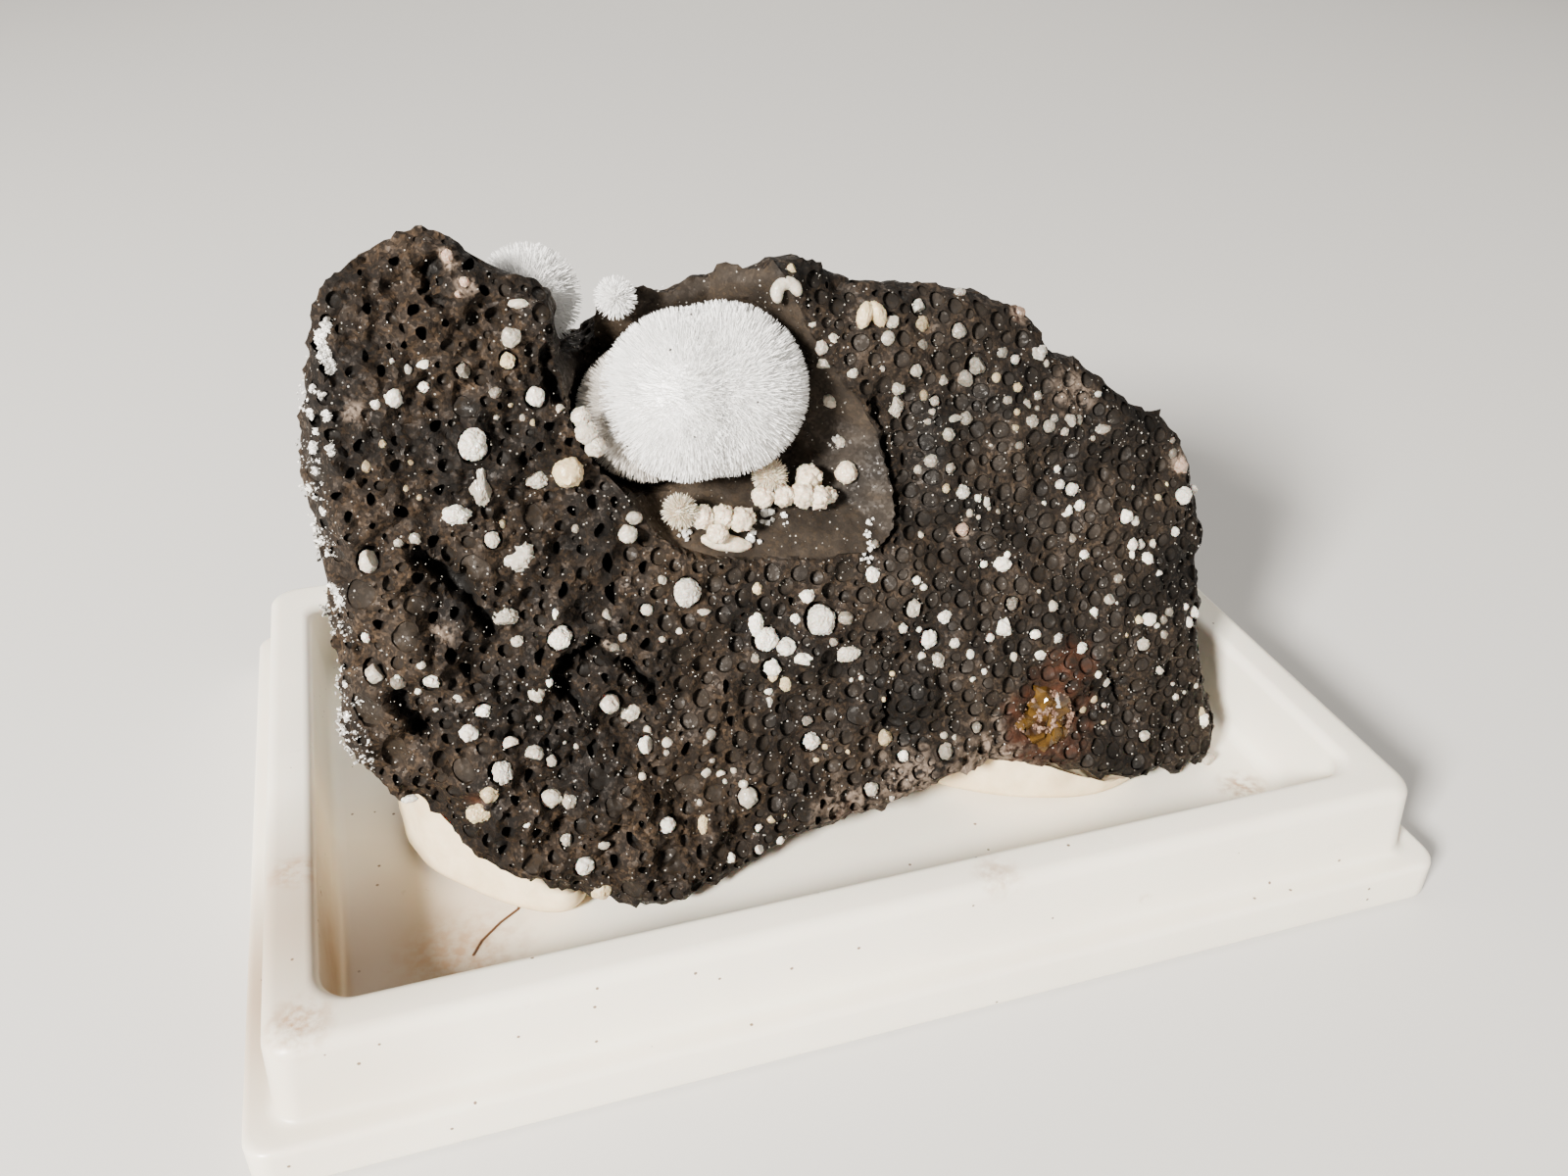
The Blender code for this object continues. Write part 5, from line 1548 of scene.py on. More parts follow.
def makeBasaltMaterial(grain):
    tree, shader = newMaterial("brokenBasalt", Roughness=0.8, Specular_IOR_Level=0.17)
    colors = basaltColors
    place = objectPlace(tree)
    polish, deep, paleMask, rustMask = (maskNode(tree, key) for key in ("polish", "deep", "pale", "rust"))
    rough, roughHeight = useGrain(tree, grain, colors["matrix"], colors["matrixTan"], 0.9, 0.75)
    smoothWall, _ = useGrain(tree, grain, colors["polished"], colors["polishedFleck"], 1.6, 0.7)
    color = mixColors(tree, polish, rough, smoothWall)
    # each grain of the stone has its own tone
    tones, fromMiddle = cellsNode(tree, place, 0.2)
    spread = calculate(tree, "POWER", tones[0], 2.2)
    speckle = mixColors(tree, spread, colors["darkGrain"], colors["lightGrain"])
    speckleAmount = rangeOf(tree, polish, 0.0, 1.0, 0.9, 0.25)
    color = mixColors(tree, speckleAmount, color, mixColors(tree, 1.0, color, speckle, "MULTIPLY"))
    # a browner left end and broad light and dark patches
    split = addNode(tree, "ShaderNodeSeparateXYZ")
    connect(tree, place, split.inputs[0])
    brownness = rangeOf(tree, split.outputs["X"], 0.006, -0.014, 0.15, 0.8)
    color = mixColors(tree, brownness, color, mixColors(tree, 1.0, color, colors["brownEnd"], "MULTIPLY"))
    patches = rangeOf(tree, noiseNode(tree, place, 6.0, 4.0), 0.38, 0.62, 0.42, 1.6)
    # a polish of 2 marks the cavity's wall, which is lighter
    patches = calculate(tree, "MULTIPLY", patches, rangeOf(tree, polish, 1.0, 2.0, 1.0, 1.75))
    patchColor = addNode(tree, "ShaderNodeCombineColor")
    for key in ("Red", "Green", "Blue"):
        connect(tree, patches, patchColor.inputs[key])
    color = mixColors(tree, 1.0, color, patchColor.outputs[0], "MULTIPLY")
    # pinkish granular patches, rust, tiny pale crystals, and painted shade in the hollows
    crumbs = rangeOf(tree, noiseNode(tree, place, 0.45, 3.0), 0.40, 0.60)
    color = mixColors(tree, calculate(tree, "MULTIPLY", paleMask, crumbs), color, colors["paleGrain"])
    crust = rangeOf(tree, noiseNode(tree, place, 0.7, 3.0), 0.35, 0.62, 0.1, 0.85)
    color = mixColors(tree, calculate(tree, "MULTIPLY", rustMask, crust), color, colors["rust"])
    chance = calculate(tree, "GREATER_THAN", tones[1], 0.965)
    fleck = calculate(tree, "MULTIPLY", chance, calculate(tree, "LESS_THAN", fromMiddle, 0.3))
    color = mixColors(tree, calculate(tree, "MULTIPLY", fleck, 0.55), color, colors["fleck"])
    color = mixColors(tree, calculate(tree, "MULTIPLY", deep, 0.94), color, colors["paintedHollowShade"])
    connect(tree, color, shader.inputs["Base Color"])
    sheen = rangeOf(tree, polish, 0.0, 1.0, 0.85, 0.78)
    sheen = calculate(tree, "SUBTRACT", sheen, calculate(tree, "MULTIPLY", spread, 0.4))
    connect(tree, sheen, shader.inputs["Roughness"])
    keep = rangeOf(tree, polish, 0.0, 1.0, 1.0, 0.22)
    height = calculate(tree, "MULTIPLY", calculate(tree, "ADD", roughHeight, spread), keep)
    bumpFrom(tree, shader, height, 0.2, 1.0)


natroliteColors = {
    "natroliteNeedles": ((0.95, 0.945, 0.93), (0.99, 0.985, 0.975)),
    # the left ball's dimmer, warmer copy of the needles' colours is painted shade
    "natrolitePaintedShade": ((0.62, 0.57, 0.51), (0.82, 0.78, 0.72)),
}


def makeNatroliteMaterials():
    for name, (dull, bright) in natroliteColors.items():
        tree, shader = newMaterial(
            name, Roughness=0.28, IOR=1.48, Subsurface_Weight=0.2, Subsurface_Scale=0.0007,
        )
        shader.inputs["Subsurface Radius"].default_value = (1.0, 0.92, 0.8)
        clean = rangeOf(tree, noiseNode(tree, objectPlace(tree), 1.2, 3.0), 0.3, 0.7)
        connect(tree, mixColors(tree, clean, dull, bright), shader.inputs["Base Color"])


def makeBeadMaterial(grain):
    tree, shader = newMaterial("phillipsiteGrains", IOR=1.5, Subsurface_Weight=0.25, Subsurface_Scale=0.0005)
    tint = maskNode(tree, "beadTint", "Color")
    darker = mixColors(tree, 1.0, tint, (0.74, 0.69, 0.60), "MULTIPLY")
    color, height = useGrain(tree, grain, tint, darker, 0.45, 0.8)
    tones, _ = cellsNode(tree, objectPlace(tree), 0.16)
    color = mixColors(tree, rangeOf(tree, tones[0], 0.0, 1.0, 0.0, 0.6), color, darker)
    connect(tree, color, shader.inputs["Base Color"])
    connect(tree, rangeOf(tree, tones[1], 0.0, 1.0, 0.18, 0.6), shader.inputs["Roughness"])
    bumps = calculate(tree, "ADD", height, calculate(tree, "MULTIPLY", tones[0], 0.9))
    bumpFrom(tree, shader, bumps, 0.07, 0.9)


def makeSpecksMaterial():
    tree, shader = newMaterial("clearCrystals", Roughness=0.15, IOR=1.5)
    tint = maskNode(tree, "beadTint", "Color")
    darker = mixColors(tree, 1.0, tint, (0.7, 0.68, 0.64), "MULTIPLY")
    tone = rangeOf(tree, noiseNode(tree, objectPlace(tree), 0.6, 2.0), 0.35, 0.65)
    connect(tree, mixColors(tree, tone, darker, tint), shader.inputs["Base Color"])


grainColors = {
    "putty": ((0.80, 0.66, 0.43), (0.66, 0.51, 0.30)),
    "amber": ((0.022, 0.009, 0.003), (0.115, 0.060, 0.012)),
    "rustyGrains": ((0.05, 0.018, 0.008), (0.42, 0.27, 0.19)),
}


def makePuttyMaterial(grain):
    tree, shader = newMaterial(
        "mountingPutty", Roughness=0.7, Subsurface_Weight=0.15, Subsurface_Scale=0.001,
    )
    color, height = useGrain(tree, grain, *grainColors["putty"], 2.2, 0.8)
    connect(tree, color, shader.inputs["Base Color"])
    bumpFrom(tree, shader, height, 0.25, 0.4)


def makeAmberMaterials(grain):
    tree, shader = newMaterial("amberGlass", Roughness=0.14, IOR=1.55, Transmission_Weight=0.2)
    cloud = rangeOf(tree, noiseNode(tree, objectPlace(tree), 1.1, 3.0), 0.35, 0.65)
    connect(tree, mixColors(tree, cloud, *grainColors["amber"]), shader.inputs["Base Color"])
    tree, shader = newMaterial("rustyRim", Roughness=0.75)
    color, height = useGrain(tree, grain, *grainColors["rustyGrains"], 0.35, 0.9)
    connect(tree, color, shader.inputs["Base Color"])
    bumpFrom(tree, shader, height, 0.1, 0.8)


trayDirtAndShade = {
    # middle of each stain in millimetres, its radius, and its strength
    "stains": (
        ((-33.6, -21.6, 8.3), 2.2, 0.9), ((-33.9, -10.0, 8.0), 1.8, 0.85), ((6.0, -22.4, 8.3), 1.8, 0.6),
        ((16.0, -24.0, 4.5), 0.8, 0.9), ((29.5, -14.5, 2.5), 2.2, 0.9), ((-25.0, -14.0, 2.5), 5.0, 0.6),
        ((-31.0, -17.5, 3.5), 3.0, 0.3),
    ),
    "stainColor": (0.36, 0.19, 0.08),
    # painted shade: a brownish darkening low on the left wall and behind the rock
    "paintedShades": (((-33.5, -14.0, 4.0), 13.0, 0.95), ((-26.0, -13.0, 2.0), 9.0, 0.5)),
    "paintedShadeTan": (0.30, 0.20, 0.115),
    "plastic": (0.89, 0.835, 0.715),
    "shadeColor": (0.76, 0.70, 0.60),
    "gritColor": (0.20, 0.14, 0.09),
}


def makeTrayMaterial():
    tree, shader = newMaterial(
        "trayPlastic", Roughness=0.33, IOR=1.5, Subsurface_Weight=0.12, Subsurface_Scale=0.0012,
    )
    place = objectPlace(tree)
    cloud = rangeOf(tree, noiseNode(tree, place, 9.0, 3.0), 0.4, 0.75, 0.0, 0.4)
    color = mixColors(tree, cloud, trayDirtAndShade["plastic"], trayDirtAndShade["shadeColor"])
    # painted shade on the left wall and behind the rock
    for spot in trayDirtAndShade["paintedShades"]:
        color = mixColors(tree, nearness(tree, place, spot, 0.1), color, trayDirtAndShade["paintedShadeTan"])
    patchy = rangeOf(tree, noiseNode(tree, place, 0.8, 4.0), 0.40, 0.60)
    for spot in trayDirtAndShade["stains"]:
        amount = calculate(tree, "MULTIPLY", nearness(tree, place, spot, 0.2), patchy)
        color = mixColors(tree, amount, color, trayDirtAndShade["stainColor"])
    # dark specks of grit
    tones, fromMiddle = cellsNode(tree, place, 1.4)
    small = calculate(tree, "LESS_THAN", fromMiddle, 0.075)
    some = calculate(tree, "GREATER_THAN", tones[0], 0.70)
    color = mixColors(tree, calculate(tree, "MULTIPLY", small, some), color, trayDirtAndShade["gritColor"])
    connect(tree, color, shader.inputs["Base Color"])
    rough = rangeOf(tree, noiseNode(tree, place, 3.0, 4.0), 0.3, 0.7, 0.27, 0.46)
    connect(tree, rough, shader.inputs["Roughness"])
    bumpFrom(tree, shader, noiseNode(tree, place, 0.5, 3.0), 0.02, 0.35)


def makeMaterials():
    grain = makeGrainGroup()
    makeBasaltMaterial(grain)
    makeNatroliteMaterials()
    makeBeadMaterial(grain)
    makeSpecksMaterial()
    makePuttyMaterial(grain)
    makeAmberMaterials(grain)
    makeTrayMaterial()
    newMaterial("darkSpeck", Base_Color=(0.03, 0.025, 0.02, 1.0), Roughness=0.8)
    newMaterial("brownFibre", Base_Color=(0.10, 0.045, 0.02, 1.0), Roughness=0.6)
    newMaterial("paleFloor", Base_Color=(0.62, 0.61, 0.59, 1.0), Roughness=0.9)
    print("made the materials")


# tray, putty, amber

trayShape = {
    "length": 75.0, "depth": 50.4, "flange": 3.0, "flangeCorner": 1.6, "rim": 8.3, "ledge": 1.7,
    "rimWidth": 3.2, "rimRound": 0.9, "floor": 2.5, "wellCorner": 2.2, "fillet": 0.9, "cornerSides": 10,
}


def bend(inset, height, reach, turns, corner):
    # a rounded edge of the section; reach tells how far it goes inwards and upwards
    points = []
    for degrees in turns:
        turn = math.radians(degrees)
        spot = (inset + reach[0] * (1.0 - math.cos(turn)), height + reach[1] * (1.0 - math.sin(turn)))
        points.append((*spot, corner))
    return points


def traySection():
    # (distance in from the flange's side, height, corner radius), from the underside round to the floor
    shape = trayShape
    flange, ledge, rim = shape["flange"], shape["ledge"], shape["rim"]
    side, well, fillet = shape["flangeCorner"], shape["wellCorner"], shape["fillet"]
    top = ledge + shape["rimWidth"]
    outer = shape["rimRound"]
    inner = outer * 0.8
    quarter = [11.25 * k for k in range(9)]
    section = [(1.2, 0.0, 1.2), (0.5, 0.0, 1.5)]
    section += bend(0.0, 0.0, (0.35, 0.35), (90, 72, 54, 36, 18, 0), side)
    section += [(0.0, 1.0, side), (0.0, 1.9, side)]
    section += bend(0.0, flange, (0.45, -0.45), (0, 18, 36, 54, 72, 90), side)
    section += [(0.9, flange, side), (ledge - 0.5, flange, side)]
    section += bend(ledge - 0.95, flange, (0.45, 0.45), (112.5, 135, 157.5, 180), side)
    section += [(ledge + 0.05, 5.2, 1.65)]
    section += bend(ledge + 0.15, rim, (outer, -outer), quarter, 1.7)
    section += bend(top, rim, (-inner, -inner), quarter[::-1], well)
    section += [(top + 0.1, 5.2, well)]
    section += bend(top + 0.2, shape["floor"], (fillet, fillet), [90.0 * k / 7 for k in range(8)], well)
    return section


def trayRing(inset, height, radius):
    halfX = trayShape["length"] / 2 - inset
    halfY = trayShape["depth"] / 2 - inset
    sides = trayShape["cornerSides"]
    ring = []
    for corner, (sx, sy) in enumerate(((1, 1), (-1, 1), (-1, -1), (1, -1))):
        for k in range(sides + 1):
            turn = math.radians(90.0 * corner + 90.0 * k / sides)
            x = sx * (halfX - radius) + radius * math.cos(turn)
            y = sy * (halfY - radius) + radius * math.sin(turn)
            ring.append((x, y, height))
    return ring


def makeTray():
    points, rings, faces = joinRings([trayRing(*row) for row in traySection()])
    faces += [tuple(reversed(rings[0])), tuple(rings[-1])]
    addPiece("trayShell", points, faces, "trayPlastic", ("tray",), 40.0)


puttyPads = {
    "puttyLeftPad": {
        "node": "putty_left",
        "corners": (
            (-27.8, -0.6), (-27.0, -5.4), (-24.6, -8.6), (-21.0, -11.9), (-18.2, -13.0), (-16.6, -11.0),
            (-16.4, -6.5), (-17.0, -2.0), (-19.0, 1.6), (-22.8, 3.4), (-26.6, 2.4),
        ),
    },
    "puttyRightPad": {
        "node": "putty_right",
        "corners": (
            (7.6, -7.0), (10.2, -9.6), (14.2, -11.6), (19.0, -12.6), (23.0, -11.2), (24.2, -7.6),
            (21.0, -3.8), (14.6, -2.4), (9.0, -3.8),
        ),
    },
}
# rings of a pad from its foot over its top to the middle: share of the outline, height above the floor
puttyRows = (
    (0.9, 0.0), (0.97, 0.12), (1.0, 0.5), (1.0, 1.0), (0.985, 1.7), (0.96, 2.4), (0.93, 3.2), (0.88, 9.0),
    (0.75, 9.0), (0.6, 9.0), (0.45, 9.0), (0.3, 9.0), (0.15, 9.0),
)


def smoothClosed(corners, steps):
    ring = []
    count = len(corners)
    for k in range(count):
        p0, p1, p2, p3 = (np.array(corners[(k + j - 1) % count]) for j in range(4))
        for j in range(steps):
            t = j / steps
            spot = 2 * p1 + (p2 - p0) * t + (2 * p0 - 5 * p1 + 4 * p2 - p3) * t * t
            ring.append(0.5 * (spot + (3 * p1 - p0 - 3 * p2 + p3) * t ** 3))
    return np.array(ring)


def makePutty():
    # each pad keeps the height of its solid, gets soft, pressed sides and ends just under the rock
    rocks = [bpy.data.objects[name] for name in ("basaltBody", "basaltFaceLeft", "basaltFaceRight")]
    bpy.context.view_layer.update()
    for name, pad in puttyPads.items():
        ring = smoothClosed(pad["corners"], 8)
        middle = ring.mean(axis=0)
        outward = (ring - middle) / np.linalg.norm(ring - middle, axis=1)[:, None]
        low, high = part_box(pad["node"])
        floorLevel, top = low.z / millimetre, high.z / millimetre
        sections = []
        for share, height in puttyRows:
            dents = np.array([0.45 * noise.noise((p[0] * 0.35, p[1] * 0.35, height * 0.5)) for p in ring])
            spots = middle + (ring - middle) * (share - 0.02) + outward * (dents * min(height, 1.0))[:, None]
            tops = np.array([underRock(spot, rocks, top, floorLevel) for spot in spots])
            tops = np.minimum(np.minimum(tops, np.roll(tops, 1)), np.roll(tops, -1))
            for _ in range(6):
                tops = 0.5 * tops + 0.25 * (np.roll(tops, 1) + np.roll(tops, -1))
            lumps = np.array([0.18 * noise.noise((p[0] * 0.8, p[1] * 0.8, 4.0)) for p in spots])
            levels = np.clip(np.minimum(floorLevel + height, tops + lumps - 0.1), floorLevel, top)
            sections.append([(*spot, level) for spot, level in zip(spots, levels)])
        points, rings, faces = joinRings(sections)
        faces.insert(0, tuple(reversed(rings[0])))
        last = len(points)
        points.append((*middle, float(np.mean(levels))))
        faces += [(rings[-1][k], rings[-1][(k + 1) % len(ring)], last) for k in range(len(ring))]
        addPiece(name, points, faces, "mountingPutty", (pad["node"],), 60.0)


def underRock(spot, rocks, most, least):
    lowest = most
    for rock in rocks:
        start = Vector((spot[0], spot[1], least)) * millimetre
        hit, place, _, _ = rock.ray_cast(start, Vector((0.0, 0.0, 1.0)))
        if hit:
            lowest = min(lowest, place.z / millimetre - 0.12)
    return max(lowest, least + 0.2)


def chunkShape(seed, size, flat=1.0):
    # an angular splinter: a few random points drawn round a middle
    rng = np.random.default_rng(seed)
    points = rng.normal(size=(14, 3))
    points /= np.linalg.norm(points, axis=1)[:, None]
    points *= rng.uniform(0.75, 1.0, (14, 1))
    shape = bmesh.new()
    for p in points * np.array((1.0, 1.0, flat)) * size:
        shape.verts.new(p)
    bmesh.ops.convex_hull(shape, input=shape.verts)
    loose = [p for p in shape.verts if not p.link_faces]
    bmesh.ops.delete(shape, geom=loose, context="VERTS")
    bmesh.ops.triangulate(shape, faces=shape.faces)
    shape.verts.index_update()
    points = np.array([p.co[:] for p in shape.verts])
    faces = np.array([[p.index for p in f.verts] for f in shape.faces])
    shape.free()
    return points, faces


amberLook = {"plates": 20, "plateSize": (0.7, 1.2), "grains": 420, "grainSize": (0.07, 0.2)}


def makeAmber():
    u, v, radius = amberPlace
    w = groundAt(u, v)
    rng = np.random.default_rng(88)
    plates, rim = [], []
    for k in range(amberLook["plates"]):
        turn = k * 2.4
        reach = radius * 0.8 * math.sqrt((k + 0.5) / amberLook["plates"])
        points, faces = chunkShape(900 + k, rng.uniform(*amberLook["plateSize"]), 0.75)
        height = w - 0.35 + 0.4 * rng.random()
        spot = (u + reach * math.cos(turn), v + reach * math.sin(turn), height)
        plates.append((points + np.array(spot), faces))
    for k in range(amberLook["grains"]):
        turn = rng.uniform(0.0, math.tau)
        share = rng.choice((0.35, 0.95)) + rng.uniform(-0.12, 0.12)
        points, faces = chunkShape(1200 + k, rng.uniform(*amberLook["grainSize"]))
        height = w + 0.15 - 0.3 * share + 0.3 * rng.random()
        reach = radius * 0.93 * share
        spot = (u + reach * math.cos(turn), v + reach * math.sin(turn), height)
        rim.append((points + np.array(spot), faces))
    for name, parts, finish in (
        ("amberCrystal", plates, "amberGlass"),
        ("amberRustyGrains", rim, "rustyRim"),
    ):
        points, faces = mergeParts(parts)
        addPiece(name, fromFace(points), faces, finish, ("amber_grain",))


sparkles = {
    "leftCrust": 1500, "leftCrustSize": (0.07, 0.26),
    "specks": 2100, "speckSize": (0.02, 0.08),
    "glints": 320,
}


def makeLeftCrust():
    # clear and white blades that cover the rock's left side, thinning out towards the back
    body = bpy.data.objects["basaltBody"].data
    rng = np.random.default_rng(5)
    centres, normals = [], []
    for face in body.polygons:
        x, y, z = (c / millimetre for c in face.center)
        shown = noise.noise((x * 0.5, y * 0.5, z * 0.5))
        if x < -25.5 and 13.0 < z < 37.0 and face.normal.x < -0.35 and shown > -0.08 + 0.03 * (y + 12.0):
            centres.append((x, y, z))
            normals.append(tuple(face.normal))
    picks = rng.integers(len(centres), size=sparkles["leftCrust"])
    centres, normals = np.array(centres)[picks], np.array(normals)[picks]
    centres += rng.uniform(-0.2, 0.2, centres.shape)
    low, high = sparkles["leftCrustSize"]
    sizes = low + (high - low) * rng.random(len(picks)) ** 2.0
    crystals = strewCrystals(centres, normals, sizes, 6, ("point", "blade"), 0.42, 0.55)
    tones = np.where(rng.random(len(picks)) < 0.45, 0.85, 0.35)
    addCrystals("leftSideCrystals", crystals, tones, 0.98, 0.93, np.array)


# white clumps on the left edge: x, y, radius in pixels
edgeClumps = (
    (334, 332, 7), (328, 346, 9), (331, 360, 10), (337, 374, 8), (320, 398, 5), (333, 424, 6), (316, 422, 5),
    (320, 456, 6), (338, 459, 6), (322, 480, 4), (316, 500, 4), (330, 520, 4), (322, 545, 5), (334, 566, 4),
    (340, 606, 8), (345, 616, 6), (352, 700, 4), (354, 735, 5), (350, 748, 4), (322, 440, 3), (328, 404, 4),
)


def makeEdgeCrystals():
    rng = np.random.default_rng(15)
    found = pixelsToFace([e[:2] for e in edgeClumps])
    places, sizes = [], []
    for (x, y, size), (u, v, perPixel) in zip(edgeClumps, found):
        for _ in range(int(5 + size * size * 0.9)):
            turn = rng.uniform(0.0, math.tau)
            reach = size * perPixel * math.sqrt(rng.random())
            places.append((u + 0.6 * reach * math.cos(turn), v + reach * math.sin(turn), 0.0))
            sizes.append(rng.uniform(0.07, 0.2))
    # a thin scatter along the whole edge
    for _ in range(900):
        v = rng.uniform(10.0, 35.5)
        if noise.noise((0.0, v * 0.6, 5.0)) < -0.05:
            continue
        places.append((-30.0 + 1.7 * rng.random(), v, 0.0))
        sizes.append(0.04 + 0.12 * rng.random() ** 3)
    places = np.array(places)
    u, v = places[:, 0], places[:, 1]
    away = pathDistance(u, v, closedOutline)
    fit = insidePath(u, v, outline) | (away < 0.35)
    outside = ~insidePath(u, v, outline)
    places[:, 2] = groundHeight(u, v) - edgeDrop(u, v) - np.where(outside, 0.5, 0.0) + 0.03
    places, sizes = places[fit], np.array(sizes)[fit]
    outward = np.tile((-0.7, 0.0, 0.7), (len(places), 1))
    crystals = strewCrystals(places, outward, sizes, 16, ("point", "blade", "chip"), 0.6, 0.6)
    tones = np.where(rng.random(len(places)) < 0.7, 0.88, 0.45)
    addCrystals("leftEdgeCrystals", crystals, tones, 0.985, 0.95)


# crumbs and clear crystals in the cavity: x, y, spread in pixels, how many, size in millimetres, tone
cavityCrumbs = (
    (886, 534, 4, 9, 0.16, 0.88), (884, 546, 4, 9, 0.17, 0.88), (888, 558, 5, 12, 0.16, 0.88),
    (885, 570, 5, 10, 0.15, 0.88), (782, 524, 9, 12, 0.28, 0.5), (852, 450, 5, 8, 0.15, 0.8),
    (776, 506, 6, 10, 0.18, 0.75), (700, 545, 6, 10, 0.2, 0.7), (765, 545, 8, 14, 0.22, 0.8),
    (735, 528, 6, 8, 0.2, 0.7), (800, 530, 5, 8, 0.16, 0.8), (598, 420, 5, 8, 0.2, 0.8),
)


def makeCavityCrumbs():
    rng = np.random.default_rng(25)
    found = pixelsToFace([e[:2] for e in cavityCrumbs])
    places, sizes, tones = [], [], []
    for (x, y, spread, count, size, tone), (u, v, perPixel) in zip(cavityCrumbs, found):
        for _ in range(count):
            spot = rng.normal(size=2) * 0.55 * spread * perPixel
            places.append((u + spot[0], v + spot[1], 0.0))
            sizes.append(size * rng.uniform(0.6, 1.15))
            tones.append(tone * rng.uniform(0.8, 1.0))
    places, tones = np.array(places), np.array(tones)
    places[:, 2] = groundHeight(places[:, 0], places[:, 1]) + 0.5 * np.array(sizes)
    outward = np.tile((0.0, 0.0, 1.0), (len(places), 1))
    crystals = strewCrystals(places, outward, sizes, 26, ("point", "chip"), 0.8, 0.8)
    addCrystals("cavityCrumbs", crystals, tones, 0.985, 0.95)


flatBead = {"pixel": (740, 553), "halfLength": 27.0, "halfWidth": 9.0, "lean": -17.0}


def makeFlatBead():
    # a smooth flat lens that lies on the cavity's lower edge
    u, v, perPixel = pixelsToFace([flatBead["pixel"]])[0]
    ways, faces = roundShape(5)
    wander = noiseOver(ways, 2)
    long, wide = flatBead["halfLength"] * perPixel, flatBead["halfWidth"] * perPixel
    points = ways * (1.0 + 0.06 * wander)[:, None] * np.array((long, wide, 0.8 * wide))
    points = spinAbout(points, math.radians(flatBead["lean"]))
    points += np.array((u, v, groundAt(u, v) + 0.35 * wide))
    addBead("flatBead", None, (points, faces), "warm", 180.0)


def makeSparkles():
    # each list is drawn too long, and what falls outside its area is left out
    rng = np.random.default_rng(8)
    specks, glints = sparkles["specks"], sparkles["glints"]
    u = rng.uniform(-29.5, 29.0, 3 * specks)
    v = rng.uniform(0.8, 42.0, 3 * specks)
    fit = insidePath(u, v, outline) & ~insidePath(u, v, vugArea) & (pathDistance(u, v, closedOutline) > 0.4)
    fit &= noiseAt(u, v, 2.5, 30.0) > -0.15
    u, v = u[fit][:specks], v[fit][:specks]
    # fine glitter on the cavity's walls
    glintU = rng.uniform(-14.0, 5.0, 4 * glints)
    glintV = rng.uniform(21.0, 38.5, 4 * glints)
    fit = insidePath(glintU, glintV, vugArea) & (pathDistance(glintU, glintV, vugRim) > 0.3)
    u = np.concatenate((u, glintU[fit][:glints]))
    v = np.concatenate((v, glintV[fit][:glints]))
    w = groundHeight(u, v) + fineRelief(u, v) - edgeDrop(u, v)
    low, high = sparkles["speckSize"]
    sizes = low + (high - low) * rng.random(len(u)) ** 2.2
    outward = np.tile((0.0, 0.0, 1.0), (len(u), 1))
    crystals = strewCrystals(np.column_stack((u, v, w)), outward, sizes, 7, ("chip",), 0.9, 1.0)
    tones = rng.choice((0.25, 0.4, 0.8), len(u), p=(0.45, 0.35, 0.2))
    addCrystals("faceSpecks", crystals, tones, 0.96, 0.88)


fibre = {
    "path": ((-24.5, -14.2), (-23.9, -13.2), (-22.6, -12.0), (-21.4, -11.2), (-20.7, -10.0)),
    "thick": 0.07,
}


def makeFibre():
    path, thick = finePath(fibre["path"], 0.25), fibre["thick"]
    sections = []
    for k, (x, y) in enumerate(path):
        ahead = np.array(path[min(k + 1, len(path) - 1)]) - np.array(path[max(k - 1, 0)])
        side = np.array((-ahead[1], ahead[0])) / np.linalg.norm(ahead)
        row = []
        for j in range(6):
            turn = math.tau * j / 6
            spot = (x + side[0] * thick * math.cos(turn), y + side[1] * thick * math.cos(turn))
            row.append((*spot, trayShape["floor"] + thick * (1.0 + math.sin(turn)) + 0.01))
        sections.append(row)
    points, rings, faces = joinRings(sections)
    faces = [tuple(reversed(rings[0])), tuple(rings[-1])] + faces
    addPiece("trayFibre", points, faces, "brownFibre")


# stage

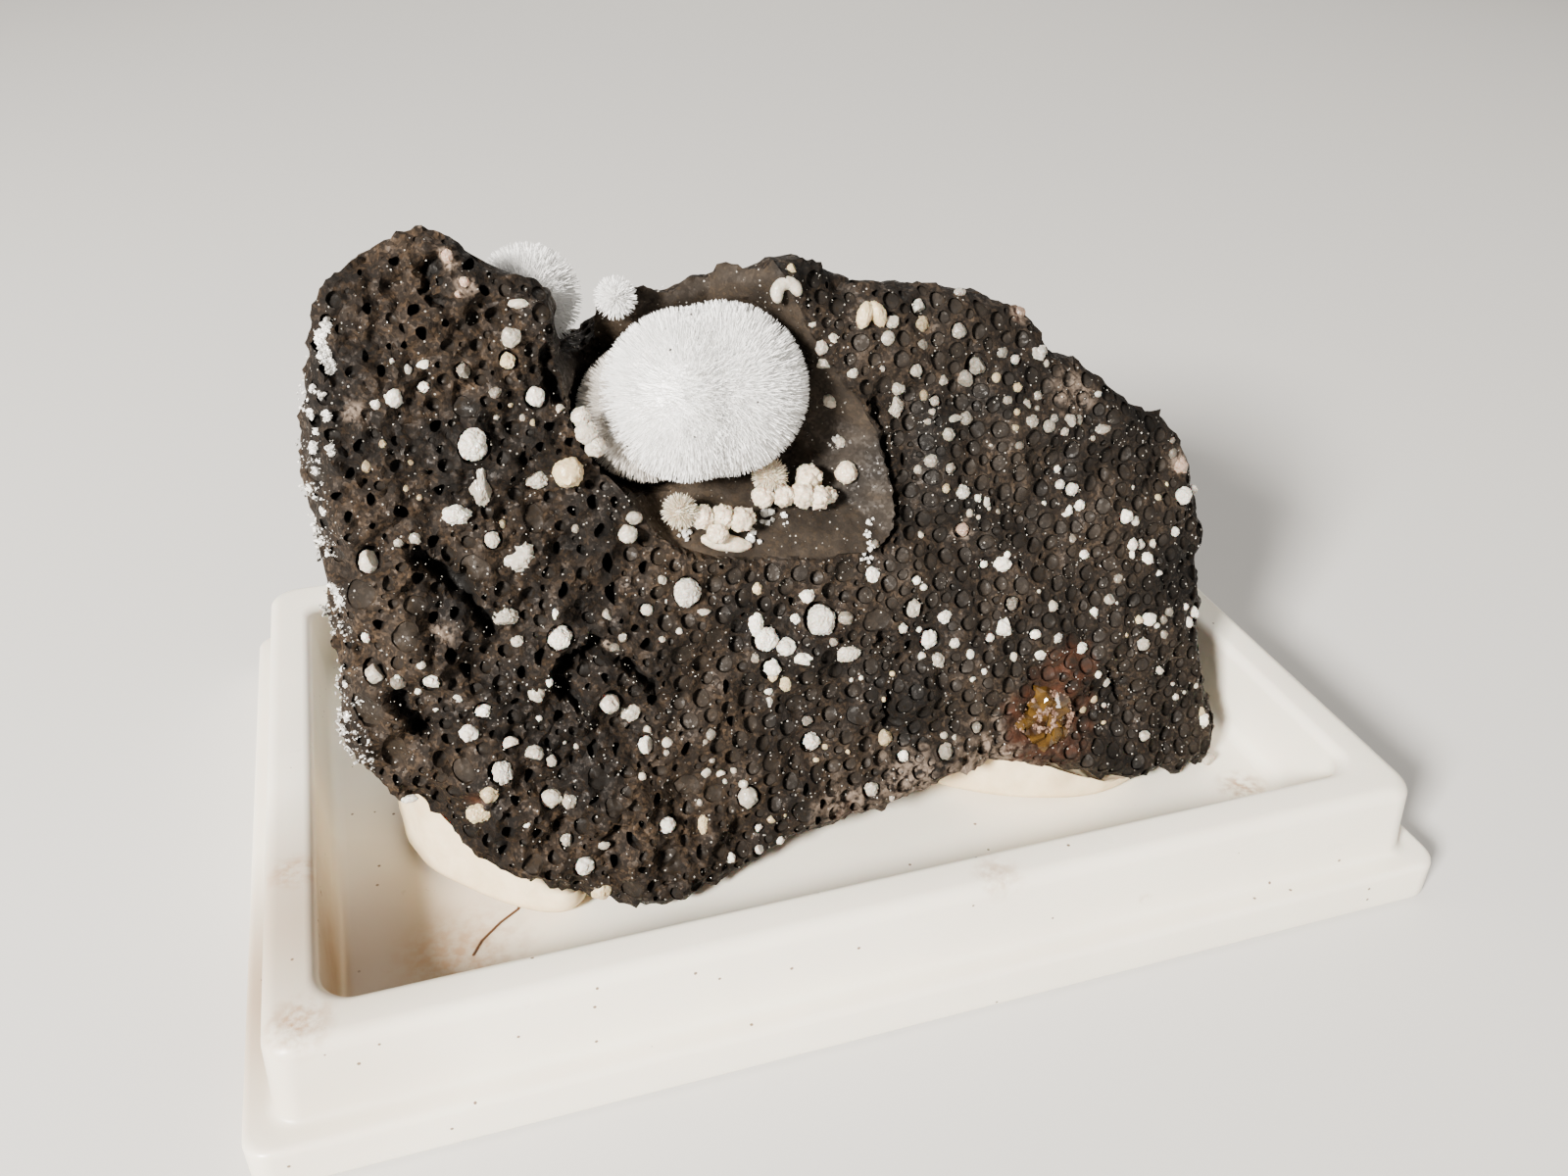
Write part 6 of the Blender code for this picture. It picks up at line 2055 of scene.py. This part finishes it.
lights = {
    "key": {"place": (-0.38, -0.31, 0.28), "power": 15.0, "size": 0.10},
    "fill": {"place": (0.42, -0.26, 0.30), "power": 0.7, "size": 0.40},
    "top": {"place": (0.05, 0.15, 0.55), "power": 1.0, "size": 0.45},
    "back": {"place": (0.12, 0.46, 0.30), "power": 1.6, "size": 0.50},
    "warmth": (1.0, 0.955, 0.89),
    "world": 0.10,
}


def makeStage():
    mesh = bpy.data.meshes.new("studioFloor")
    half = 1.5
    corners = [(-half, -half, 0.0), (half, -half, 0.0), (half, half, 0.0), (-half, half, 0.0)]
    mesh.from_pydata(corners, [], [(0, 1, 2, 3)])
    mesh.materials.append(bpy.data.materials["paleFloor"])
    floor = bpy.data.objects.new("studioFloor", mesh)
    floor.location.z = -0.0001
    bpy.context.scene.collection.objects.link(floor)
    for name in ("key", "fill", "top", "back"):
        data = bpy.data.lights.new(name + "Light", "AREA")
        data.energy = lights[name]["power"]
        data.size = lights[name]["size"]
        data.color = lights["warmth"]
        lamp = bpy.data.objects.new(name + "Light", data)
        lamp.location = lights[name]["place"]
        aim = Vector((0.0, 0.0, 0.02)) - Vector(lights[name]["place"])
        lamp.rotation_euler = aim.to_track_quat("-Z", "Y").to_euler()
        bpy.context.scene.collection.objects.link(lamp)
    world = bpy.data.worlds.new("studioWorld")
    world.use_nodes = True
    background = world.node_tree.nodes["Background"]
    background.inputs[0].default_value = (1.0, 0.985, 0.96, 1.0)
    background.inputs[1].default_value = lights["world"]
    bpy.context.scene.world = world


makeCamera()
makeMaterials()
makeStage()
makeTray()
beads, beadPlaces = placeFaceBeads()
looseOnes = placeLooseBeads(beads, beadPlaces)
for u, v, radius in (creamBead, facetBead, rimBead, (*horseshoe["place"], 1.2), doubleBead):
    beadPlaces.append((u, v, radius, "none"))
beadPlaces.insert(0, (amberPlace[0], amberPlace[1], 0.86 * amberPlace[2], "floor"))
makeRock(beadPlaces)
makeBeads("faceBeads", beads)
makeBeads("looseBeads", looseOnes, 1)
makeNatrolite()
makeVugBeads()
makeFlatBead()
makeAmber()
makeLeftCrust()
makeEdgeCrystals()
makeBallSpecks()
makeCavityCrumbs()
makeSparkles()
makePutty()
makeFibre()
